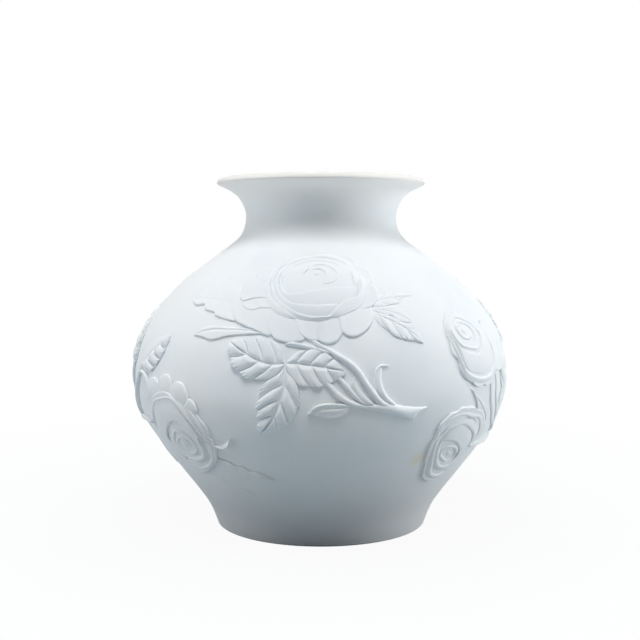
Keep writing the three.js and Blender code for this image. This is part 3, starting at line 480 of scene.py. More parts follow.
sideRoses = {
    "upper_rose": {
        "relief": 0.66,
        "bead": 0.16,
        "guards": [
            ([(-58, 34, 0.4), (-61, 37.5, 0.3), (-65.4, 36.9, 0.3), (-70.1, 33.2, 0.4), (-74.6, 27.5, 0.5),
              (-78.4, 21.2, 0.7), (-79.8, 16.2, 0.9), (-76, 14, 1), (-68, 20, 1), (-62, 28, 0.8)],
             (-69, 26, 0.9)),
            ([(-50, 22, 0.9), (-44, 30, 0.9), (-36, 30, 0.9), (-33.4, 25.8, 1.1), (-34.9, 20.9, 1.3),
              (-38, 15, 1.4), (-46.6, 9.8, 1.3), (-50, 14, 1)], (-41, 21, 1.4)),
            ([(-46, 12, 0.9), (-36, 17, 1), (-32, 14.5, 1.1), (-30.9, 11.5, 1.2), (-34, 8, 1.3),
              (-40, 5.9, 1.3), (-47, 6, 1.1), (-50, 9, 0.9)], (-40, 11, 1.4)),
            ([(-60, 30, 0.5), (-62, 36.4, 0.4), (-56, 36.6, 0.4), (-49.6, 34, 0.5), (-45.6, 29, 0.6),
              (-46, 23, 0.9), (-52, 22, 0.9)], (-53, 30, 1.2)),
            ([(-74, 8, 1), (-71.9, 4, 1.4), (-69.6, 1.3, 1.4), (-65.7, 0, 1.5), (-62.4, 0.8, 1.4),
              (-59.4, 0.2, 1.5), (-53.4, 1.2, 1.4), (-49.6, 4.4, 1.2), (-46, 9, 1), (-50, 14, 0.8),
              (-60, 12, 0.8), (-70, 12, 0.8)], (-60, 7, 1.7)),
            ([(-70, 20, 0.6), (-76, 22.5, 0.9), (-78.4, 17.8, 1), (-77, 14.4, 1), (-78.3, 10.3, 1.1),
              (-76.8, 5.9, 1.1), (-73.2, 4.2, 1), (-68, 6, 0.8), (-68, 14, 0.7)], (-73, 12, 1.2)),
        ],
        "floor": ([(-76, 10, 1.5), (-74, 4, 1.5), (-66, 2.4, 1.5), (-54, 3.4, 1.5), (-48.6, 9, 1.5),
                   (-47, 18, 1.4), (-50.4, 28, 1.3), (-58, 33.4, 1.3), (-68, 33, 1.3), (-75, 26.6, 1.4),
                   (-77, 18, 1.5)], (-65.5, 25, 2.1)),
        "bands": {
            "outer": [(-76, 25, 0.8, -77.6, 25, 0.6), (-76.4, 19, 1.9, -78.2, 19, 1.2),
                      (-76.2, 13.4, 2.4, -78, 13.6, 1.6),
                      (-74.8, 8.8, 2.6, -76.8, 6.4, 1.7), (-71.4, 6.4, 2.6, -72.4, 3.4, 1.6),
                      (-66.3, 4.8, 2.7, -66.6, 1.8, 1.6), (-59.4, 4.6, 2.7, -59.6, 1.8, 1.6),
                      (-53.8, 6.8, 2.6, -52.4, 4, 1.6), (-49.6, 11.2, 2.5, -46.8, 9.6, 1.5),
                      (-47.6, 17.5, 2.2, -44.4, 18, 1.4), (-48.8, 24, 1.1, -46, 25.4, 0.9)],
            "back": [(-54.8, 24.4, 1.2, -52.2, 25, 0.9), (-56.6, 28.6, 2, -53.4, 30.6, 1.2),
                     (-59.6, 31.2, 2, -57.4, 34.4, 1), (-63.4, 32.6, 2, -62.6, 35.8, 0.9),
                     (-67.6, 31.2, 2, -69, 33.8, 0.9), (-72, 28.2, 2, -74, 30, 0.9),
                     (-74.8, 24.4, 1.8, -76.8, 24.6, 1), (-75, 20.6, 1, -76.6, 20.6, 0.8)],
            "face": [(-75, 26, 1.4, -76.8, 23, 1.1), (-75.4, 21, 2.8, -76, 14.6, 2.2),
                     (-73.4, 17.8, 3, -73.6, 8.8, 2.2), (-69, 16.1, 3.1, -67.3, 6.4, 2.2),
                     (-63.6, 15.3, 3.2, -59.5, 6.2, 2.2), (-60, 17.2, 3.2, -54.3, 8.5, 2.2),
                     (-56.8, 20.6, 3.1, -50.2, 12.8, 2.1), (-54.7, 24.8, 2.6, -48.6, 19, 2),
                     (-56, 28.6, 1.2, -50.6, 26, 1)],
            "inner": [(-69.6, 28.8, 1.4, -71.4, 29.6, 1.2), (-73, 26.2, 2.7, -74.8, 26.6, 2.3),
                      (-74, 23, 2.8, -75.2, 22.4, 2.3), (-72.4, 20.2, 2.9, -73.4, 18.8, 2.4),
                      (-68.4, 18.8, 3, -68.8, 17.2, 2.5), (-63.6, 18.2, 3, -63.2, 16.6, 2.5),
                      (-60, 20, 1.5, -58.8, 19, 1.3)],
            "heartRight": [(-67, 29.8, 1.3, -67.4, 31.2, 1.1), (-63.4, 29.6, 2.3, -63, 31.2, 1.9),
                           (-60.4, 28, 2.4, -58.6, 29, 1.9), (-59.6, 25.4, 2.4, -57.4, 25.2, 1.9),
                           (-61.4, 22.8, 2.3, -60, 21.2, 1.9), (-65, 21, 1.3, -64.6, 19.6, 1.1)],
            "heartLeft": [(-64, 28.4, 1.5, -64, 29.6, 1.3), (-66.8, 28.2, 2.5, -67.8, 29.4, 2.2),
                          (-69, 26.4, 2.6, -70.6, 26.8, 2.2), (-68.6, 24, 2.6, -70, 22.8, 2.3),
                          (-66.2, 23, 2.6, -66.8, 21.4, 2.2), (-63.6, 23.8, 2.5, -62.8, 22.4, 2.1),
                          (-61.6, 25.6, 1.4, -60.4, 24.8, 1.2)],
        },
        "bud": ([(-63.8, 26.6, 2.4), (-65, 27.4, 2.5), (-67, 26.6, 2.5), (-67, 25.2, 2.4),
                 (-65, 24.8, 2.4)], (-65.5, 26.1, 2.6)),
    },
    "lower_rose": {
        "relief": 0.56,
        "bead": 0.16,
        "guards": [
            ([(-50, -18, 1.2), (-46.5, -24, 1.3), (-46.5, -32, 1.3), (-48, -40, 1.2), (-51, -46, 1.1),
              (-56, -42, 1), (-56, -28, 1), (-55, -20, 1.1)], (-51, -31, 1.5)),
            ([(-74, -38, 1), (-71.6, -42, 1.2), (-67.4, -46.5, 1.3), (-60, -50, 1.3), (-53, -50.5, 1.2),
              (-50, -46, 1), (-58, -40, 1), (-68, -36, 1)], (-62, -44, 1.5)),
            ([(-82, -15, 1), (-86.6, -15.6, 1.3), (-86, -19, 1.4), (-85, -21.4, 1.4), (-84.6, -25.5, 1.4),
              (-80.2, -32.4, 1.3), (-76, -37, 1.2), (-71.6, -41.8, 1.1), (-68, -38, 1), (-76, -26, 1)],
             (-79.5, -26, 1.6)),
            ([(-66, -14, 1.2), (-71.9, -12, 1.4), (-72.4, -8.2, 1.8), (-68, -8.4, 1.9), (-64.8, -9.8, 1.8),
              (-61, -10.6, 1.9), (-56, -13.5, 1.7), (-52, -18, 1.5), (-56, -22, 1.1)], (-62, -15, 2)),
            ([(-70, -14, 1.2), (-71, -10, 1.5), (-73.5, -8, 1.8), (-77, -7.8, 1.9), (-79.4, -9.2, 1.8),
              (-82.6, -9.8, 1.9), (-85, -12, 1.8), (-86.8, -15.4, 1.6), (-84, -19, 1.3), (-76, -17, 1.2)],
             (-77.5, -12.5, 2)),
        ],
        "floor": ([(-80, -17, 1.5), (-83, -24, 1.4), (-77, -31.5, 1.4), (-71.5, -38, 1.4), (-66, -43, 1.3),
                   (-59, -46, 1.3), (-53.5, -42, 1.3), (-50.5, -34, 1.3), (-50.5, -27, 1.4),
                   (-56, -20.5, 1.5), (-64, -15, 1.5), (-73, -13.5, 1.5)], (-66, -31, 2)),
        "bands": {
            "left": [(-82.2, -20, 1.1, -84, -20.4, 0.9), (-81.2, -24.6, 2.1, -83.4, -25.6, 1.5),
                     (-76, -31, 2.3, -78.2, -32.8, 1.6), (-70.6, -37.4, 2.3, -72.8, -39.6, 1.6),
                     (-66, -42.4, 2.2, -67.6, -45, 1.5), (-59.6, -45.6, 2.1, -60.2, -48.4, 1.4),
                     (-53.8, -45.6, 1.9, -53, -48.2, 1.3), (-50.8, -41, 1, -48.8, -42, 0.8)],
            "outer": [(-84.4, -18, 1, -86, -18.2, 0.8), (-82.4, -13.6, 2.1, -84.2, -12, 1.6),
                      (-78.4, -11.8, 2.4, -79.4, -9.9, 1.8), (-74, -11.8, 2.4, -74, -9.6, 1.8),
                      (-68, -13.4, 2.5, -67, -10.9, 1.8), (-61.6, -14.6, 2.4, -60, -12.3, 1.8),
                      (-56, -18.8, 2.3, -53.8, -17.2, 1.6), (-52, -25, 2.1, -49.4, -24.4, 1.4),
                      (-51.6, -31, 1, -49.6, -31.4, 0.8)],
            "second": [(-83, -22, 1.2, -84.4, -20, 1), (-80.4, -18.2, 2.5, -82, -15.8, 1.9),
                       (-75.6, -16.8, 2.7, -76.8, -14, 1.9), (-71.4, -16.3, 2.8, -71.6, -13.4, 1.9),
                       (-65.2, -18.8, 2.8, -63.6, -15.6, 1.9), (-58.6, -22.6, 2.7, -56.4, -19.6, 1.9),
                       (-54, -27.4, 2.5, -51.4, -25.4, 1.7), (-52, -33, 1.2, -50, -32.4, 0.9)],
            "leftInner": [(-79, -22.4, 1.3, -80.8, -22.6, 1.1), (-77.8, -26.4, 2.5, -79.8, -27.6, 2),
                          (-73.4, -31.6, 2.7, -75.4, -33.4, 2.1), (-68.4, -36.4, 2.7, -69.8, -38.8, 2.1),
                          (-62.6, -39.6, 2.6, -63, -42.4, 2), (-57, -40.2, 2.4, -56, -42.8, 1.8),
                          (-53.6, -36.6, 1.2, -51.8, -37, 1)],
            "face": [(-80.6, -24.6, 1.4, -82, -21.6, 1.1), (-77, -23.4, 2.9, -79.4, -18.6, 2.2),
                     (-70, -24.9, 3.1, -73, -16.8, 2.3), (-64.6, -27.8, 3.2, -66, -19, 2.3),
                     (-60, -31, 3.2, -59.4, -22.8, 2.3), (-57, -35.2, 3, -54.4, -27.6, 2.2),
                     (-56, -39, 1.4, -52.4, -34.4, 1.2)],
            "heartLow": [(-73.6, -27.8, 1.4, -74.8, -28.2, 1.2), (-71.8, -31.2, 2.3, -73, -32.6, 1.9),
                         (-67.6, -33.8, 2.4, -68.4, -35.6, 2), (-63.2, -36, 2.3, -63.2, -37.8, 1.9),
                         (-59.8, -35.8, 1.4, -58.4, -37, 1.2)],
            "heartTop": [(-74.6, -29.6, 1.4, -75.8, -28.4, 1.2), (-71, -28.2, 2.5, -71.8, -26.6, 2.1),
                         (-65.4, -29.8, 2.6, -65, -28, 2.2), (-61.2, -33, 2.6, -59.4, -32, 2.2),
                         (-60.4, -36, 1.5, -58.6, -36.4, 1.3)],
        },
        "bud": ([(-68.2, -30.6, 2.3), (-65.4, -31.4, 2.4), (-63.8, -33.4, 2.4), (-66, -33.4, 2.4),
                 (-68.4, -31.9, 2.3)], (-66.2, -32.1, 2.5)),
    },
    "far_rose": {
        "relief": 0.66,
        "bead": 0.16,
        "guards": [
            ([(50, -8, 1), (48.4, -3.3, 1.2), (50, 0.4, 1.3), (53.4, 3, 1.3), (57.9, 3.7, 1.3),
              (61.2, 1.9, 1.2), (62.4, -2, 1), (60, -8, 0.9)], (55.6, -2, 2.3)),
            ([(61, -7, 0.9), (61.2, -1, 1.1), (62, 3, 1.3), (64.4, 5.2, 1.4), (68, 6.2, 1.4),
              (71.2, 4.4, 1.3), (72.6, 1, 1.2), (72, -4, 1.1), (69, -7, 0.9)], (66.8, 0.2, 2.4)),
            ([(70, -7, 0.9), (71.6, -1, 1.2), (73.6, 2.2, 1.4), (77, 3.7, 1.4), (80.6, 2.4, 1.4),
              (83.2, -1.4, 1.3), (82.6, -5.2, 1.1), (77, -8, 0.9)], (77, -1.4, 2.4)),
            ([(78, -9, 0.8), (81.8, -4.8, 1.1), (84, -3.2, 1.3), (86.6, -5, 1.2), (87, -9, 1),
              (83, -12, 0.8)], (83.6, -7, 1.8)),
            ([(52, -8, 1.1), (47.6, -14, 1.3), (46.6, -22, 1.3), (47.4, -31, 1.3), (50.6, -39, 1.2),
              (55, -36, 1), (55, -22, 1), (56, -12, 1)], (51, -23, 1.6)),
            ([(72, -34, 1), (71, -38.6, 1.2), (66, -42, 1.3), (60, -44.6, 1.3), (54, -45.6, 1.2),
              (51, -41, 1), (57, -36, 1), (66, -32, 1)], (61.5, -39, 1.5)),
            ([(82, -20, 1), (87.4, -21, 1.2), (86, -26, 1.3), (82, -31, 1.3), (76.5, -36, 1.2),
              (71, -38.8, 1.1), (70, -34, 1), (76, -26, 1)], (78.5, -28, 1.5)),
            ([(76, -8, 0.7), (80, -5, 0.8), (83.8, -6, 1), (87, -11.6, 1), (88.6, -15.9, 1),
              (87.6, -21, 0.9), (84.6, -27, 0.8), (80, -24, 0.7), (78, -14, 0.7)], (82.5, -14, 1.7)),
            ([(52, -14, 1.5), (52.8, -10, 1.9), (54, -6.6, 2.1), (62.2, -2.6, 2.3), (68.2, -1.4, 2.3),
              (72.8, -2.6, 2.2), (77.4, -5.4, 2.1), (80.4, -11, 1.7), (76, -16, 1.5), (62, -16, 1.4)],
             (67, -9, 2.4)),
        ],
        "floor": ([(50, -20, 1.4), (56.6, -10.6, 1.5), (64, -7.4, 1.5), (71.6, -6.4, 1.5),
                   (77.6, -10.4, 1.5), (81.6, -18, 1.5), (80.4, -26, 1.4), (74.6, -32.6, 1.4),
                   (66.4, -36.4, 1.3), (58, -37, 1.3), (51.6, -32, 1.3)], (66, -25, 1.9)),
        "bands": {
            "bottom": [(80, -29, 1, 81, -30, 0.8), (76, -33.4, 1.8, 77.2, -35.2, 1.3),
                       (70, -37.4, 1.8, 70.8, -39.6, 1.3), (64.6, -39.8, 1.8, 65, -42, 1.3),
                       (58, -40.8, 1.7, 57.6, -43.2, 1.2), (52.6, -37.6, 0.9, 50.8, -38.8, 0.7)],
            "right": [(80.4, -7, 1.1, 82, -6.2, 0.9), (83.4, -10, 2, 85.2, -9.6, 1.5),
                      (85, -15, 2.1, 87, -15.2, 1.5), (84.6, -20, 2, 86.6, -21, 1.4),
                      (82.6, -26, 1.9, 84.2, -27.6, 1.3), (78, -31.6, 1, 79, -33.2, 0.8)],
            "outer": [(48.6, -26, 1, 46.8, -25.4, 0.8), (48.8, -18.8, 2.2, 46.8, -17, 1.6),
                      (57, -8.8, 2.5, 55.4, -6.6, 1.8), (64, -5.9, 2.7, 63.4, -3.6, 2.1),
                      (71.9, -4.7, 2.7, 72.8, -2.8, 2.1), (76.2, -7, 2.6, 78.6, -5.6, 1.9),
                      (79.8, -12, 2.4, 82.2, -11, 1.7), (82.4, -18, 2.2, 84.6, -17.8, 1.5),
                      (83, -24, 1, 85, -24.4, 0.8)],
            "low": [(79.6, -19.4, 1.3, 81, -19, 1.1), (78.4, -23, 2.6, 80.4, -23.8, 2),
                    (76.8, -27, 2.6, 78.6, -28.6, 2), (72.8, -31.6, 2.5, 74, -33.8, 1.9),
                    (66.6, -34.6, 2.4, 67.2, -37.2, 1.8), (60, -35.6, 2.2, 59.6, -38.2, 1.6),
                    (55, -33.4, 1.2, 53.2, -34.8, 1)],
            "face": [(52.6, -29, 1.4, 50, -25, 1.1), (55.6, -24.6, 2.9, 49.6, -19.4, 2.1),
                     (63.4, -17.5, 3.1, 57.4, -9.6, 2.3), (69.6, -14.6, 3.2, 64, -6.8, 2.3),
                     (75, -15, 3.2, 71.8, -5.6, 2.3), (78.4, -16.9, 3.1, 76, -7.8, 2.3),
                     (81.4, -20.8, 2.8, 79.4, -12.4, 2.1), (82, -26, 1.4, 82.4, -20, 1.2)],
            "heartLow": [(58.2, -28, 1.3, 56.6, -28.6, 1.1), (60.6, -31, 1.9, 60, -33, 1.5),
                         (66, -31.6, 2, 66.4, -33.6, 1.6), (71.2, -28.6, 1.9, 72.6, -30.2, 1.5),
                         (73.4, -24.8, 1.2, 75.2, -25, 1)],
            "heartTop": [(57.6, -29.6, 1.2, 56, -28.4, 1), (60.8, -25.4, 2.1, 59.2, -23, 1.6),
                         (65.8, -21, 2.4, 65.4, -18.8, 2), (70.6, -20.8, 2.4, 71.6, -18.8, 2),
                         (73.8, -23.6, 2.1, 75.6, -22.6, 1.7), (73.8, -27, 1.4, 75.6, -27.4, 1.2)],
            "heartInner": [(62, -29.4, 1.5, 60.6, -30, 1.3), (62.6, -26.4, 2.2, 61, -26, 1.9),
                           (66.8, -23.6, 2.4, 66.8, -22.2, 2.1), (69.8, -25, 2.3, 71.2, -24.4, 1.9),
                           (69, -28, 1.5, 70.4, -28.8, 1.3)],
        },
        "bud": ([(64.4, -26.6, 2.1), (66.4, -25.8, 2.2), (68, -26.8, 2.2), (66.6, -28.4, 2.2),
                 (64.6, -28.2, 2.1)], (66.2, -27, 2.3)),
    },
}

# Leaves in millimetres about the middle of their spray: the midrib from base to tip, the two margins,
# and side veins as shares of the midrib's and of the margin's length

frontLeaves = {
    "rose_leaf_left": [
        {"midrib": [(-31, 39), (-44, 42.6), (-56, 44.2), (-67.2, 43.2)],
         "margins": [[(-31, 39), (-34, 34.6), (-38, 33.2), (-42, 33.4), (-49.4, 35.4), (-50.4, 37),
                      (-56.2, 38.4), (-57.2, 41), (-63, 40.6), (-67.2, 43.2)],
                     [(-31, 39), (-34, 46), (-40, 53.5), (-48, 57.5), (-56, 56.4), (-62.5, 51.5),
                      (-67.2, 43.2)]],
         "veins": [[(0.22, 0.36), (0.44, 0.56), (0.66, 0.77)], [(0.2, 0.38), (0.42, 0.58), (0.64, 0.76)]],
         "lift": 0.65, "rims": (1, 0.12), "pad": 0.12, "groove": 0.08, "teeth": 0.15, "base": 0.15},
    ],
    "rose_leaf_upper": [
        {"midrib": [(20.5, 42), (24.5, 47.4), (28.9, 54)],
         "margins": [[(20.5, 42), (22.2, 46.2), (25.4, 50.6), (28.9, 54)],
                     [(20.5, 42), (25.6, 44.4), (28.8, 48.6), (28.9, 54)]],
         "pads": 3, "pad": 0.15, "lift": 0.4, "rims": (0.35, 0.35), "groove": 0.2, "teeth": 0.2,
         "base": 0.1},
    ],
    "rose_leaf_middle": [
        {"midrib": [(21.5, 42.6), (28, 44.6), (35, 46.2), (43.4, 47)],
         "margins": [[(21.5, 42.6), (24.5, 46.4), (29.9, 49.6), (33, 50.1), (36.4, 48.4), (39.4, 48),
                      (43.4, 47)],
                     [(21.5, 42.6), (25.6, 41), (31.8, 42), (35.6, 42.8), (36.8, 44.4), (38.2, 46.2),
                      (43.4, 47)]],
         "veins": [[(0.22, 0.4), (0.5, 0.64)], [(0.22, 0.4), (0.5, 0.66)]], "pad": 0.2, "lift": 0.35,
         "rims": (0.2, 0.35), "groove": 0.18, "teeth": 0.3, "base": 0.1},
    ],
    "rose_leaf_right": [
        {"midrib": [(21.5, 40), (28, 39), (34.5, 36.8), (41.6, 32.4)],
         "margins": [[(21.5, 40), (28, 41.4), (35.4, 40.4), (39.6, 37), (41.6, 32.4)],
                     [(21.5, 40), (25, 38.3), (27.9, 36.4), (31.4, 36.4), (33.5, 34.8), (36.8, 32.7),
                      (41.6, 32.4)]],
         "lift": 0.35, "rims": (0.2, 0.4), "pad": 0.12, "groove": 0.2, "teeth": 0.2, "base": 0.1},
        {"midrib": [(22.3, 37.8), (29.6, 34.2), (36, 30.6), (41.8, 26.6), (47, 22)],
         "margins": [[(22.3, 37.8), (28, 37.4), (33.5, 34.8), (37.2, 32.4), (41, 30.5), (44.6, 26.8),
                      (47, 22)],
                     [(22.3, 37.8), (24.1, 34.2), (25.8, 31.7), (28.7, 29.3), (31.8, 26.3), (36.6, 24.3),
                      (42, 23.2), (47, 22)]],
         "veins": [[(0.16, 0.34), (0.38, 0.54), (0.62, 0.76)], [(0.12, 0.42), (0.32, 0.64), (0.6, 0.84)]],
         "lift": 0.6, "rims": (0.35, 0.8), "pad": (0.25, 0.5), "groove": 0.3, "teeth": 0.6,
         "toothStep": 2.2, "base": 0.1},
    ],
    "narrow_leaf": [
        {"midrib": [(-22, 27.4), (-30, 28.4), (-41, 28.6), (-50, 28.3), (-56, 27), (-61.8, 25.2)],
         "margins": [[(-22, 27.4), (-30, 29.3), (-41.2, 29.9), (-50.7, 30.3), (-56.7, 28.7), (-61.8, 25.2)],
                     [(-22, 27.4), (-29.6, 27), (-40.9, 25.8), (-50, 23.6), (-55.5, 24.6), (-61.8, 25.2)]],
         "pads": 1, "lift": 0.9, "rims": (0.5, 0.9), "pad": 0.2, "groove": 0.55, "teeth": 0},
    ],
    "leaflet_left": [
        {"midrib": [(-15.5, 14.1), (-20.8, 13.7), (-26.7, 15), (-32.1, 17.6), (-36.1, 20), (-40.9, 23.4)],
         "margins": [[(-15.5, 14.1), (-15.9, 16.5), (-17.4, 21.1), (-21, 24), (-24.7, 25.2), (-29.2, 24.9),
                      (-34.2, 24.4), (-40.9, 23.4)],
                     [(-15.5, 14.1), (-16.5, 12), (-20.1, 8.5), (-23.7, 7.4), (-30.4, 7.2), (-33.8, 8.6),
                      (-37.8, 11.5), (-39.7, 15.1), (-41, 20), (-40.9, 23.4)]],
         "veins": [[(0.13, 0.44), (0.34, 0.62), (0.61, 0.78)], [(0.19, 0.45), (0.41, 0.62), (0.64, 0.81)]],
         "teeth": 0.4, "pad": (0.95, 1.35)},
    ],
    "leaflet_right": [
        {"midrib": [(-15.1, 14.3), (-10.2, 14.2), (-5, 13.5), (0.2, 12.9), (3.7, 12.3), (10.5, 10.9)],
         "margins": [[(-15.1, 14.3), (-13.7, 16), (-10.2, 18.8), (-4.7, 20.6), (0.9, 19.2), (5.4, 16.4),
                      (7.6, 13.9), (10.5, 10.9)],
                     [(-15.1, 14.3), (-14.1, 11), (-11.9, 7.6), (-9.1, 5.2), (-4.6, 4.7), (0.9, 4.8),
                      (5, 6.6), (9.4, 9.2), (10.5, 10.9)]],
         "veins": [[(0.19, 0.4), (0.41, 0.59), (0.64, 0.76)], [(0.19, 0.48), (0.45, 0.65), (0.68, 0.8)]],
         "teeth": 0.25},
    ],
    "leaflet_lower": [
        {"midrib": [(-15.1, 13.4), (-15.3, 9.6), (-15.6, 4.8), (-17.2, -0.4), (-19, -5.7), (-20.9, -9.8),
                    (-24.2, -14.2), (-27, -17)],
         "margins": [[(-15.1, 13.4), (-16.2, 11.7), (-20.1, 8.1), (-24.1, 5.7), (-26.6, 1), (-27.6, -3.6),
                      (-27.4, -8.2), (-27.3, -12.8), (-27, -17)],
                     [(-15.1, 13.4), (-14, 9.6), (-10.9, 6.9), (-9.1, 2.1), (-9.2, -3.7), (-11.3, -7.9),
                      (-14.5, -12), (-19.5, -14.8), (-27, -17)]],
         "veins": [[(0.25, 0.57), (0.44, 0.7), (0.645, 0.82)], [(0.25, 0.5), (0.46, 0.66), (0.66, 0.79)]],
         "teeth": 0.55, "lift": 1.2, "pad": 1.3},
    ],
    "stem_leaf": [
        {"midrib": [(13, -3.6), (6.8, -4), (1.6, -4.4), (-5.6, -7)],
         "margins": [[(13, -3.6), (10.6, -2.7), (5.1, -2.3), (-0.1, -2.7), (-3.6, -4.3), (-5.6, -7)],
                     [(13, -3.6), (10.5, -6.4), (6.8, -8), (3.4, -8.5), (-0.1, -7.8), (-5.6, -7)]],
         "pads": 1, "lift": 1.25, "rims": (0.75, 0.5), "pad": 0.8, "groove": 0, "teeth": 0,
         "rolls": (1.15, 0.4)},
    ],
    "stipule": [
        {"midrib": [(23.6, -3.6), (18.8, -1.2), (15.6, 2), (13.9, 5.3), (13.8, 8.6)],
         "margins": [[(23.6, -3.6), (19.6, -0.1), (16.9, 2.8), (15.2, 5.7), (13.8, 8.6)],
                     [(23.6, -3.6), (18.2, -2.5), (14.4, 1.2), (12.6, 4.9), (13.8, 8.6)]],
         "pads": 1, "lift": 2, "rims": (1.5, 1.5), "pad": 0.3, "groove": 0, "teeth": 0},
    ],
}

sideLeaves = {
    "upper_leaf": [
        {"midrib": [(41.6, 8), (47.4, 13.4), (53.8, 18), (60.6, 24.6)],
         "margins": [[(41.6, 8), (38.5, 13.5), (43.5, 19.3), (51.1, 22.8), (60.6, 24.6)],
                     [(41.6, 8), (43.4, 6.4), (51.4, 5.2), (58.3, 10.4), (61.4, 16.8), (60.6, 24.6)]],
         "pads": 5, "teeth": 0.3, "lift": 0.8, "rims": (0.2, 0.3), "pad": (0.08, 1.4), "groove": 0.35,
         "base": 0.3},
    ],
    "wall_leaf": [
        {**beside([(-37, -7), (-36, 3), (-32, 13), (-27.6, 22)], [0, 3.6, 5.2, 4.4, 2, 0],
                  [0, 3.6, 5, 4.2, 1.9, 0]), "lift": 0.8, "pad": 0.7, "rims": (0.6, 0.6), "teeth": 0.3},
    ],
    "middle_leaf": [
        {**beside([(3.6, 8), (2.4, 20), (-1, 32), (-5, 43)], [0, 6, 8, 6.6, 3.2, 0],
                  [0, 6.2, 8.2, 6.4, 3, 0]), "teeth": 0.5, "pads": 5, "pad": 0.8, "lift": 0.9,
         "rims": (0.6, 0.6)},
    ],
    "bud_leaf": [
        beside([(13.6, 4), (20, 14), (22.4, 23), (21.6, 31)], [0, 4.6, 6, 4.4, 1.8, 0],
               [0, 4.8, 6.2, 4.6, 1.9, 0]),
    ],
    "sepal": [
        {**beside([(-48, -19.4), (-55, -13.6), (-63, -7.6), (-71.6, -0.2)], [0, 3.4, 3.8, 2.6, 1, 0],
                  [0, 2.6, 2.6, 1.6, 0.6, 0]), "pads": 1, "pad": 0.3, "teeth": 0, "groove": 0.4,
         "lift": 0.9, "rims": (0.45, 0.45), "rolls": (0.3, 0.3)},
    ],
    "foot_leaf": [
        {"midrib": [(78.4, -32.6), (83, -37.6), (89, -41.4), (98, -44.6)],
         "margins": [[(78.4, -32.6), (80.6, -34.4), (84.4, -34.8), (85.4, -37), (89.4, -37), (90.6, -39.4),
                      (94.6, -40), (98, -44.6)],
                     [(78.4, -32.6), (79, -36.4), (81.8, -38.8), (81.6, -42), (85.2, -43.2), (86.2, -45.9),
                      (90.4, -45.2), (93, -46.8), (98, -44.6)]],
         "teeth": 0, "lift": 0.7, "rims": (0.45, 0.4), "pad": 0.1, "groove": 0.35, "rolls": (0.35, 0.3),
         "base": 0.3},
    ],
    "low_leaf": [
        {"midrib": [(57, -46), (64, -50.4), (70, -53.6), (77, -56.4)],
         "margins": [[(57, -46), (60.4, -45.6), (63, -48), (66.8, -48.2), (69, -51.2), (73, -52.4),
                      (77, -56.4)],
                     [(57, -46), (57.6, -49), (61.4, -51.4), (63.6, -54), (68.4, -54.6), (71.6, -57),
                      (77, -56.4)]],
         "teeth": 0, "lift": 0.35, "rims": (0.03, 0.03), "pad": 0.05, "groove": 0.2, "rolls": (0.15, 0.15),
         "base": 0.2},
    ],
    "tip_leaf": [
        {**beside([(84.5, -25), (90, -26), (94.6, -24), (98.4, -20.4)], [0, 1.1, 1.3, 0.9, 0],
                  [0, 1, 1.1, 0.8, 0]), "pads": 1, "pad": 0, "teeth": 0, "groove": 0, "lift": 1.5,
         "rims": (0.1, 0.3), "edge": 0.1},
    ],
}

# Stems as x, y, width and lift in millimetres, from the cut or thick end

frontStems = [
    {"path": [(41.9, -8.3, 6.8, 1.9), (39, -7.9, 6.1, 2.1), (36, -7.1, 5.2, 2.3), (33, -6.1, 4.7, 2.4),
              (29.5, -5, 4.3, 2.3), (26, -4.5, 3.4, 2.1), (22, -4.1, 2.5, 1.8), (18, -3.9, 1.8, 1.5),
              (14, -3.7, 1.2, 1.1)],
     "heel": 6.2, "hollow": 1.4, "slant": 0.8},
    {"path": [(30, -4.4, 2.4, 1.6), (25.6, -2.3, 2.9, 2.3), (22, 1.6, 3, 2.4), (18.6, 6.2, 2.9, 2.4),
              (15.6, 10.8, 2.7, 2.3), (11.8, 14.5, 2.6, 2.2), (7.6, 17.2, 2.4, 2), (3.4, 19.8, 2.2, 1.9),
              (-1.2, 22.6, 2, 1.6), (-4, 25, 1.6, 1.1)]},
    {"path": [(3.6, 18.8, 1.4, 1.5), (-2.1, 20.5, 1.8, 1.7), (-8.3, 22.1, 1.9, 1.7),
              (-12.6, 22.8, 1.8, 1.5), (-15, 22.4, 1, 0.9)]},
    {"path": [(18.6, -3.7, 1.4, 1.4), (14.6, -2.9, 2.4, 2), (10.5, -1.2, 2.7, 2.1), (6.8, 1.5, 2.7, 2.1),
              (4.2, 4.3, 2.6, 1.9), (1.4, 7.2, 2.4, 1.4)]},
    {"path": [(20.6, -3, 1.2, 1.3), (17.3, -1.8, 1.9, 1.9), (14, 1, 2.2, 2), (10.6, 4.9, 2.2, 2),
              (6.8, 9, 2.1, 1.5)]},
    {"path": [(31.4, -3.7, 2.2, 1.7), (27.8, -0.6, 2.3, 1.9), (25.7, 2.6, 2.6, 1.8),
              (24.6, 6.1, 3, 1.5), (24.6, 9.5, 3, 1.2), (25.4, 12, 2.2, 0.9)]},
    {"path": [(23.4, 10.8, 0.5, 0.8), (24.6, 12.3, 1, 1.2), (26.4, 13.1, 1.1, 1.3), (29, 13, 0.4, 0.8)]},
]

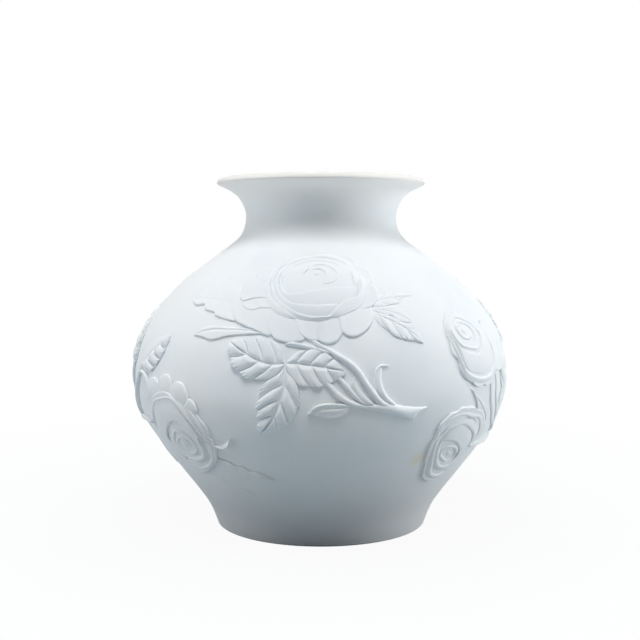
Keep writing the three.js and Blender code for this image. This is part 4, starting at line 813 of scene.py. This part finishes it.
sideStems = [
    {"path": [(6.5, -48, 5.2, 1.6), (5.4, -43, 4.2, 2), (3.8, -33, 3.9, 2.1), (5, -18, 3.4, 2.1),
              (3.6, -4, 2.8, 2), (3.4, 9, 2.2, 1.7)], "heel": 3.5, "hollow": 1.2},
    {"path": [(3.8, -36, 2, 1.2), (-13, -29.6, 2.7, 1.3), (-28, -23.6, 2.7, 1.1), (-39, -18.4, 2.6, 0.8),
              (-46, -12.6, 2.5, 0.8), (-51.6, -7, 2.4, 0.8), (-53.4, -1.6, 2, 0.7), (-53.6, 3, 1.4, 0.6)]},
    {"path": [(-31, -21.6, 1.4, 0.8), (-37, -14.4, 2.2, 0.8), (-43.4, -8.8, 2.2, 0.8),
              (-46.4, -4.6, 2, 0.7), (-47, 1, 1.8, 0.7), (-47.2, 6, 1.4, 0.6)]},
    {"path": [(-36, -15.6, 1.2, 0.6), (-38.6, -8, 1.9, 0.7), (-38, -1.5, 1.8, 0.7), (-36.8, 4, 1.4, 0.6)]},
    {"path": [(-11, -29.2, 1.8, 1.6), (-22, -31.2, 2.6, 1.9), (-36, -31.6, 2.4, 1.8), (-50, -31, 2, 1.4)]},
    {"path": [(4.6, -25, 2, 1.6), (15, -21, 2.8, 1.9), (28, -19, 2.6, 1.9), (44, -19, 2.2, 1.5)]},
    {"path": [(13.5, -21.8, 1.6, 1.6), (23.8, -13, 2.5, 1.9), (34, -3, 2.3, 1.8), (42.4, 8.8, 1.8, 1.5)]},
    {"path": [(39.6, 5, 1.2, 1.4), (45.4, 4.6, 1.8, 1.7), (50, 2.4, 1.8, 1.7), (52.4, -3, 1.4, 1.3)]},
    {"path": [(4, -8, 1.4, 1.5), (8.4, -2.6, 2, 1.7), (14.3, 5, 1.6, 1.4)]},
]


# Materials

def linear(code):
    # An sRGB hex code as a linear colour.
    parts = [int(code[n:n + 2], 16) / 255 for n in (1, 3, 5)]
    return (*[p / 12.92 if p <= 0.04045 else ((p + 0.055) / 1.055) ** 2.4 for p in parts], 1)


def addNode(tree, kind, settings=None, links=None, **properties):
    # Adds a node, sets its properties and input values, and links its inputs from (node, output).
    node = tree.nodes.new(kind)
    for name, value in properties.items():
        setattr(node, name, value)
    for name, value in (settings or {}).items():
        node.inputs[name].default_value = value
    for name, (source, output) in (links or {}).items():
        tree.links.new(source.outputs[output], node.inputs[name])
    return node


def newMaterial(name):
    material = bpy.data.materials.new(name)
    material.use_nodes = True
    tree = material.node_tree
    tree.nodes.clear()
    return material, tree


bisque = {
    "colour": "#edf2f5",
    "warmCloud": "#eef1f2",
    "coolCloud": "#e9eff3",
    "roughness": 0.78,
    "grain": 0.35,        # millimetres across, of the unglazed body's fine tooth
    "grainDepth": 0.012,
    "cloud": 45.0,        # millimetres across, of the faint firing clouds
    "coolBelow": 0.35,    # of the clouds' pattern, where the skin is coolest
    "warmAbove": 0.68,
    "stain": "#efe3c4",
    "stainAt": (-82.5, -34.0),  # millimetres right of and above the middle of the right-hand spray
    "stainReach": 3.2,    # millimetres out, to where it starts to fade
    "stainFade": 2.5,     # times the reach, to where it is gone
    "stainRagged": 1.2,   # times the reach, by which its edge wanders
    "stainStrength": 0.5,
    "lipCream": "#f6f2ec",
    "creamFrom": 156.0,   # millimetres up, where the cream tone towards the lip sets in
    "creamFull": 177.0,   # above the lip, which therefore has most of the tone and not all
}


def bisquePorcelain():
    # Unglazed porcelain fired to biscuit: a dense white body with a matt, faintly toothed skin, which lets
    # a little light into itself, shows soft clouds where the kiln toned it, and grows cream towards the
    # lip.
    material, tree = newMaterial("bisquePorcelain")
    place = addNode(tree, "ShaderNodeTexCoord")
    clouds = addNode(tree, "ShaderNodeTexNoise", {"Scale": 1 / (bisque["cloud"] * mm), "Detail": 3},
                     {"Vector": (place, "Object")})
    warm = addNode(tree, "ShaderNodeValToRGB", None, {"Fac": (clouds, "Fac")})
    warm.color_ramp.elements[0].position = bisque["coolBelow"]
    warm.color_ramp.elements[0].color = linear(bisque["coolCloud"])
    warm.color_ramp.elements[1].position = bisque["warmAbove"]
    warm.color_ramp.elements[1].color = linear(bisque["warmCloud"])
    middle = warm.color_ramp.elements.new(0.5)
    middle.color = linear(bisque["colour"])
    spot = onWall((90, 0), *bisque["stainAt"], 0)
    reach = bisque["stainReach"] * mm
    away = addNode(tree, "ShaderNodeVectorMath", {1: tuple(spot)}, {0: (place, "Object")},
                   operation="DISTANCE")
    ragged = addNode(tree, "ShaderNodeTexNoise", {"Scale": 1 / reach, "Detail": 2},
                     {"Vector": (place, "Object")})
    uneven = addNode(tree, "ShaderNodeMath", {1: bisque["stainRagged"] * reach},
                     {0: (ragged, "Fac"), 2: (away, "Value")}, operation="MULTIPLY_ADD")
    strength = addNode(tree, "ShaderNodeMapRange",
                       {"From Min": reach, "From Max": bisque["stainFade"] * reach,
                        "To Min": bisque["stainStrength"], "To Max": 0.0},
                       {"Value": (uneven, "Value")})
    stained = addNode(tree, "ShaderNodeMix", {"B": linear(bisque["stain"])},
                      {"Factor": (strength, "Result"), "A": (warm, "Color")}, data_type="RGBA")
    # A cream tone that grows with height, from the neck up to the lip.
    up = addNode(tree, "ShaderNodeSeparateXYZ", None, {"Vector": (place, "Object")})
    cream = addNode(tree, "ShaderNodeMapRange",
                    {"From Min": bisque["creamFrom"] * mm, "From Max": bisque["creamFull"] * mm},
                    {"Value": (up, "Z")})
    skin = addNode(tree, "ShaderNodeMix", {"B": linear(bisque["lipCream"])},
                   {"Factor": (cream, "Result"), "A": (stained, "Result")}, data_type="RGBA")
    grain = addNode(tree, "ShaderNodeTexNoise", {"Scale": 1 / (bisque["grain"] * mm), "Detail": 2},
                    {"Vector": (place, "Object")})
    bump = addNode(tree, "ShaderNodeBump", {"Strength": 0.5, "Distance": bisque["grainDepth"] * mm},
                   {"Height": (grain, "Fac")})
    shader = addNode(tree, "ShaderNodeBsdfPrincipled",
                     {"Roughness": bisque["roughness"], "IOR": 1.5, "Specular IOR Level": 0.3,
                      "Subsurface Weight": 0.12, "Subsurface Radius": (1.0, 0.9, 0.8),
                      "Subsurface Scale": 0.6 * mm},
                     {"Base Color": (skin, "Result"), "Normal": (bump, "Normal")})
    addNode(tree, "ShaderNodeOutputMaterial", None, {"Surface": (shader, "BSDF")})
    return material


glazeFinish = {
    "thin": "#f0f1ee",
    "full": "#f6f6f3",
    "roughness": 0.12,
    "ripple": 9.0,        # millimetres across, of the slow unevenness of a dipped coat
    "rippleDepth": 0.05,
}


def clearGlaze():
    # A thin feldspar glaze over white porcelain: smooth, glossy and a shade warmer than the bisque.
    material, tree = newMaterial("clearGlaze")
    place = addNode(tree, "ShaderNodeTexCoord")
    ripple = addNode(tree, "ShaderNodeTexNoise", {"Scale": 1 / (glazeFinish["ripple"] * mm), "Detail": 1},
                     {"Vector": (place, "Object")})
    bump = addNode(tree, "ShaderNodeBump", {"Strength": 0.3, "Distance": glazeFinish["rippleDepth"] * mm},
                   {"Height": (ripple, "Fac")})
    tint = addNode(tree, "ShaderNodeValToRGB", None, {"Fac": (ripple, "Fac")})
    tint.color_ramp.elements[0].color = linear(glazeFinish["thin"])
    tint.color_ramp.elements[1].color = linear(glazeFinish["full"])
    shader = addNode(tree, "ShaderNodeBsdfPrincipled", {"Roughness": glazeFinish["roughness"], "IOR": 1.52},
                     {"Base Color": (tint, "Color"), "Normal": (bump, "Normal")})
    addNode(tree, "ShaderNodeOutputMaterial", None, {"Surface": (shader, "BSDF")})
    return material


porcelain = bisquePorcelain()
glaze = clearGlaze()


# The pot

def innerLine(inset):
    # The wall moved inwards by a depth, which thins towards the lip, down to a quarter-ellipse corner.
    top = wallAlong[-1]
    flare = pot["lip"][1] - pot["neck"][1]
    depth = inset - (pot["wall"] - pot["lipThickness"]) * smooth(top - flare, top, wallAlong)
    line = wallLine - wallOut * depth[:, None]
    return line[wallLine[:, 1] >= pot["floor"] + pot["cornerHeight"]]


def cornerLine(start, floorHeight):
    angle = np.linspace(0, math.pi / 2, 14)
    reach = pot["cornerReach"]
    drop = start[1] - floorHeight
    return np.stack([start[0] - reach * (1 - np.cos(angle)), floorHeight + drop * (1 - np.sin(angle))], 1)


def lathe(line, segments):
    # Turns a line of radius and height about the upright axis.
    turn = np.linspace(0, 2 * math.pi, segments, endpoint=False)
    line = np.array(line)
    return np.stack([line[:, :1] * np.sin(turn), -line[:, :1] * np.cos(turn),
                     line[:, 1:] + 0 * turn], -1) * mm


def potBody():
    outer = wallLine[::5]
    inner = innerLine(pot["wall"])[::-5]
    lipMiddle = (outer[-1] + inner[0]) / 2
    half = outer[-1] - lipMiddle
    across = np.array([-half[1], half[0]])
    angle = np.linspace(0, math.pi, 12)[1:-1, None]
    turned = [np.sign(part) * np.abs(part) ** pot["lipSquareness"]
              for part in (np.cos(angle), np.sin(angle))]
    lip = lipMiddle + half * turned[0] + across * turned[1]
    edge = pot["footEdge"]
    footRadius = pot["foot"][0]
    ringInside = footRadius - pot["footRing"]
    recess = pot["footRecess"]
    bend = np.linspace(0, math.pi / 2, 7)[:, None]
    footEdge = np.array([footRadius - edge, edge]) + edge * np.hstack([np.sin(bend), -np.cos(bend)])
    rise = np.linspace(0, 1, 8)[:, None]
    ring = np.hstack([ringInside - recess + recess * rise, recess * (1 - smooth(0, 1, rise))])
    base = [[0, recess], [ringInside * 0.5, recess]]
    floor = cornerLine(inner[-1], pot["floor"])[1:]
    middle = np.array([[floor[-1, 0] * 0.5, pot["floor"]], [0, pot["floor"]]])
    return np.vstack([base, ring, footEdge[:-1], outer, lip, inner, floor, middle])


def glazeCoat():
    outside = innerLine(pot["wall"] + pot["slip"])[::6]
    inside = innerLine(pot["wall"] + pot["slip"] + pot["glaze"])[::-6]
    low = pot["floor"] + pot["slip"]
    high = low + pot["glaze"]
    under = cornerLine(outside[0], low)[::-1]
    over = cornerLine(inside[-1], high)[1:]
    return np.vstack([[[0, low]], under[:-1], outside, inside, over, [[0, high]]])


addPiece("vase_body_bisque", [lathe(potBody(), pot["segments"])], porcelain, "bisque_body", "vase_body")
addPiece("inner_glaze_coat", [lathe(glazeCoat(), pot["segments"])], glaze, "inner_glaze", "inner_glaze")
print("pot and glaze made")


# The sprays

def roseShells(head, place):
    # The guard petals, then the cup with its bands and bud, of one flower head.
    relief, bead = head["relief"], head["bead"]
    guards = [petalShell(place, *lobe(*values), relief, columns=96) for values in head.get("lobes", [])]
    guards += [petalShell(place, *petal, relief) for petal in head["guards"]]
    cup = [petalShell(place, *head["floor"], relief, edge=0.5, roll=0)]
    cup += [bandShell(place, rails, relief, bead=bead) for rails in head["bands"].values()]
    cup.append(petalShell(place, *head["bud"], relief, edge=0.5, roll=0, columns=48, rings=8))
    return guards, cup


def addRose(side, name, head, place):
    guards, cup = roseShells(head, place)
    node = f"{side}_{name}"
    addPiece(f"{node}_cup", cup, porcelain, "bisque_sprigs", node)
    addPiece(f"{node}_guards", guards, porcelain, "bisque_sprigs", f"{node}_petals")


def addSpray(side, azimuth, leaves, stems):
    for name, blades in leaves.items():
        shells = [leafShell((azimuth, 0), **blade) for blade in blades]
        addPiece(f"{side}_{name}_bisque", shells, porcelain, "bisque_sprigs", f"{side}_{name}")
    shells = [stemShell((azimuth, 0), **stem) for stem in stems]
    addPiece(f"{side}_stem_bisque", shells, porcelain, "bisque_sprigs", f"{side}_stem")


for side, azimuth in (("front", 0), ("back", 180)):
    middle, rise = frontRose["place"]
    addRose(side, "rose", frontRose, (azimuth + middle, rise))
    addSpray(side, azimuth, frontLeaves, frontStems)

for side, azimuth in (("right", 90), ("left", 270)):
    for name, rose in sideRoses.items():
        addRose(side, name, rose, (azimuth, 0))
    addSpray(side, azimuth, sideLeaves, sideStems)
print("sprays made")


# Stage, light and camera

studio = {
    "floorSize": 12.0,
    "floorColour": "#c7d2d8",
    "floorNear": 0.93,     # share of plain white that the camera sees by the pot
    "floorFrom": 0.15,     # metres out, up to where it sees that share
    "floorFar": 0.6,       # metres out, from where it sees plain white
    "floorGlow": 1.02,     # strength of that white
    "shadeNear": 0.3,      # painted shade: share of the paper's colour left beside the foot, where little light falls
    "shadeFrom": 0.05,     # metres out, up to where it has that share
    "shadeReach": 0.17,    # metres out, from where the paper has its full colour
    "roomColour": (0.92, 0.96, 1, 1),
    "ambient": 0.005,      # strength of the room's own light
    "softboxes": {
        # place, side of the square and watts
        "overhead": ((0.0, 0.0, 1.0), 0.6, 1.1),
        "highFront": ((0.0, -0.42, 0.95), 0.35, 4.6),
        "highLeft": ((-0.45, -0.15, 0.75), 0.4, 0.4),
        "front": ((0.0, -0.4, 0.5), 0.4, 0.62),
        "left": ((-0.6, 0.0, 0.17), 0.3, 1.2),
        "right": ((0.6, 0.0, 0.17), 0.3, 2.0),
    },
    "lens": 58.7,          # millimetres, as the sensor's width
    "sensorWidth": 36,
    "shiftX": -0.0016,
    "cameraAt": (0.0, -0.530, 0.139),
    "pitch": 3.95,
}


def seenByCamera(tree):
    # One where the camera sees a surface, straight, in a reflection or through glass, and else nought.
    path = addNode(tree, "ShaderNodeLightPath")
    seen = addNode(tree, "ShaderNodeMath", None,
                   {0: (path, "Is Camera Ray"), 1: (path, "Is Glossy Ray")}, operation="MAXIMUM")
    return addNode(tree, "ShaderNodeMath", None,
                   {0: (seen, "Value"), 1: (path, "Is Transmission Ray")}, operation="MAXIMUM")


def addFloor():
    # A white sweep: the camera sees it near white, with only a soft shadow left; its paper carries painted
    # shade by the foot.
    size = studio["floorSize"]
    corners = [(-size, -size, 0), (size, -size, 0), (size, size, 0), (-size, size, 0)]
    mesh = bpy.data.meshes.new("studioFloor")
    mesh.from_pydata(corners, [], [(0, 1, 2, 3)])
    material, tree = newMaterial("paperSweep")
    seen = seenByCamera(tree)
    place = addNode(tree, "ShaderNodeTexCoord")
    reach = addNode(tree, "ShaderNodeVectorMath", None, {0: (place, "Object")}, operation="LENGTH")
    plain = addNode(tree, "ShaderNodeMapRange",
                    {"From Min": studio["floorFrom"], "From Max": studio["floorFar"],
                     "To Min": studio["floorNear"], "To Max": 1.0},
                    {"Value": (reach, "Value")})
    share = addNode(tree, "ShaderNodeMath", None, {0: (seen, "Value"), 1: (plain, "Result")},
                    operation="MULTIPLY")
    # Painted shade: the paper's colour is darkened beside the foot, so less light bounces onto the pot's
    # lower wall.
    shade = addNode(tree, "ShaderNodeMapRange",
                    {"From Min": studio["shadeFrom"], "From Max": studio["shadeReach"],
                     "To Min": studio["shadeNear"], "To Max": 1.0},
                    {"Value": (reach, "Value")})
    tone = addNode(tree, "ShaderNodeVectorMath", {0: linear(studio["floorColour"])[:3]},
                   {"Scale": (shade, "Result")}, operation="SCALE")
    paper = addNode(tree, "ShaderNodeBsdfDiffuse", None, {"Color": (tone, "Vector")})
    glow = addNode(tree, "ShaderNodeEmission", {"Color": (1, 1, 1, 1), "Strength": studio["floorGlow"]})
    mixed = addNode(tree, "ShaderNodeMixShader", None,
                    {"Fac": (share, "Value"), 1: (paper, "BSDF"), 2: (glow, "Emission")})
    addNode(tree, "ShaderNodeOutputMaterial", None, {"Surface": (mixed, "Shader")})
    mesh.materials.append(material)
    floor = bpy.data.objects.new("studioFloor", mesh)
    bpy.context.scene.collection.objects.link(floor)


def addWorld():
    world = bpy.data.worlds.new("studioRoom")
    bpy.context.scene.world = world
    world.use_nodes = True
    tree = world.node_tree
    tree.nodes.clear()
    seen = seenByCamera(tree)
    room = addNode(tree, "ShaderNodeBackground",
                   {"Color": studio["roomColour"], "Strength": studio["ambient"]})
    white = addNode(tree, "ShaderNodeBackground", {"Color": (1, 1, 1, 1), "Strength": 1.0})
    mixed = addNode(tree, "ShaderNodeMixShader", None,
                    {"Fac": (seen, "Value"), 1: (room, "Background"), 2: (white, "Background")})
    addNode(tree, "ShaderNodeOutputWorld", None, {"Surface": (mixed, "Shader")})


def addSoftbox(name, at, size, power, aim=(0, 0, 0.09)):
    data = bpy.data.lights.new(name, "AREA")
    data.shape = "SQUARE"
    data.size = size
    data.energy = power
    light = bpy.data.objects.new(name, data)
    bpy.context.scene.collection.objects.link(light)
    light.location = at
    light.visible_camera = False
    back = np.array(at, float) - np.array(aim, float)
    flat = math.hypot(back[0], back[1])
    light.rotation_euler = (math.atan2(flat, back[2]), 0, math.atan2(back[0], -back[1]))


def addCamera():
    data = bpy.data.cameras.new("studioCamera")
    data.lens = studio["lens"]
    data.sensor_width = studio["sensorWidth"]
    data.shift_x = studio["shiftX"]
    data.clip_start = 0.01
    data.clip_end = 50
    camera = bpy.data.objects.new("studioCamera", data)
    bpy.context.scene.collection.objects.link(camera)
    camera.location = studio["cameraAt"]
    camera.rotation_euler = (math.radians(90 - studio["pitch"]), 0, 0)
    bpy.context.scene.camera = camera


addFloor()
addWorld()
for name, (at, size, power) in studio["softboxes"].items():
    addSoftbox(f"{name}Softbox", at, size, power)
addCamera()
bpy.context.scene.view_settings.view_transform = "Standard"
print("stage, light and camera made")
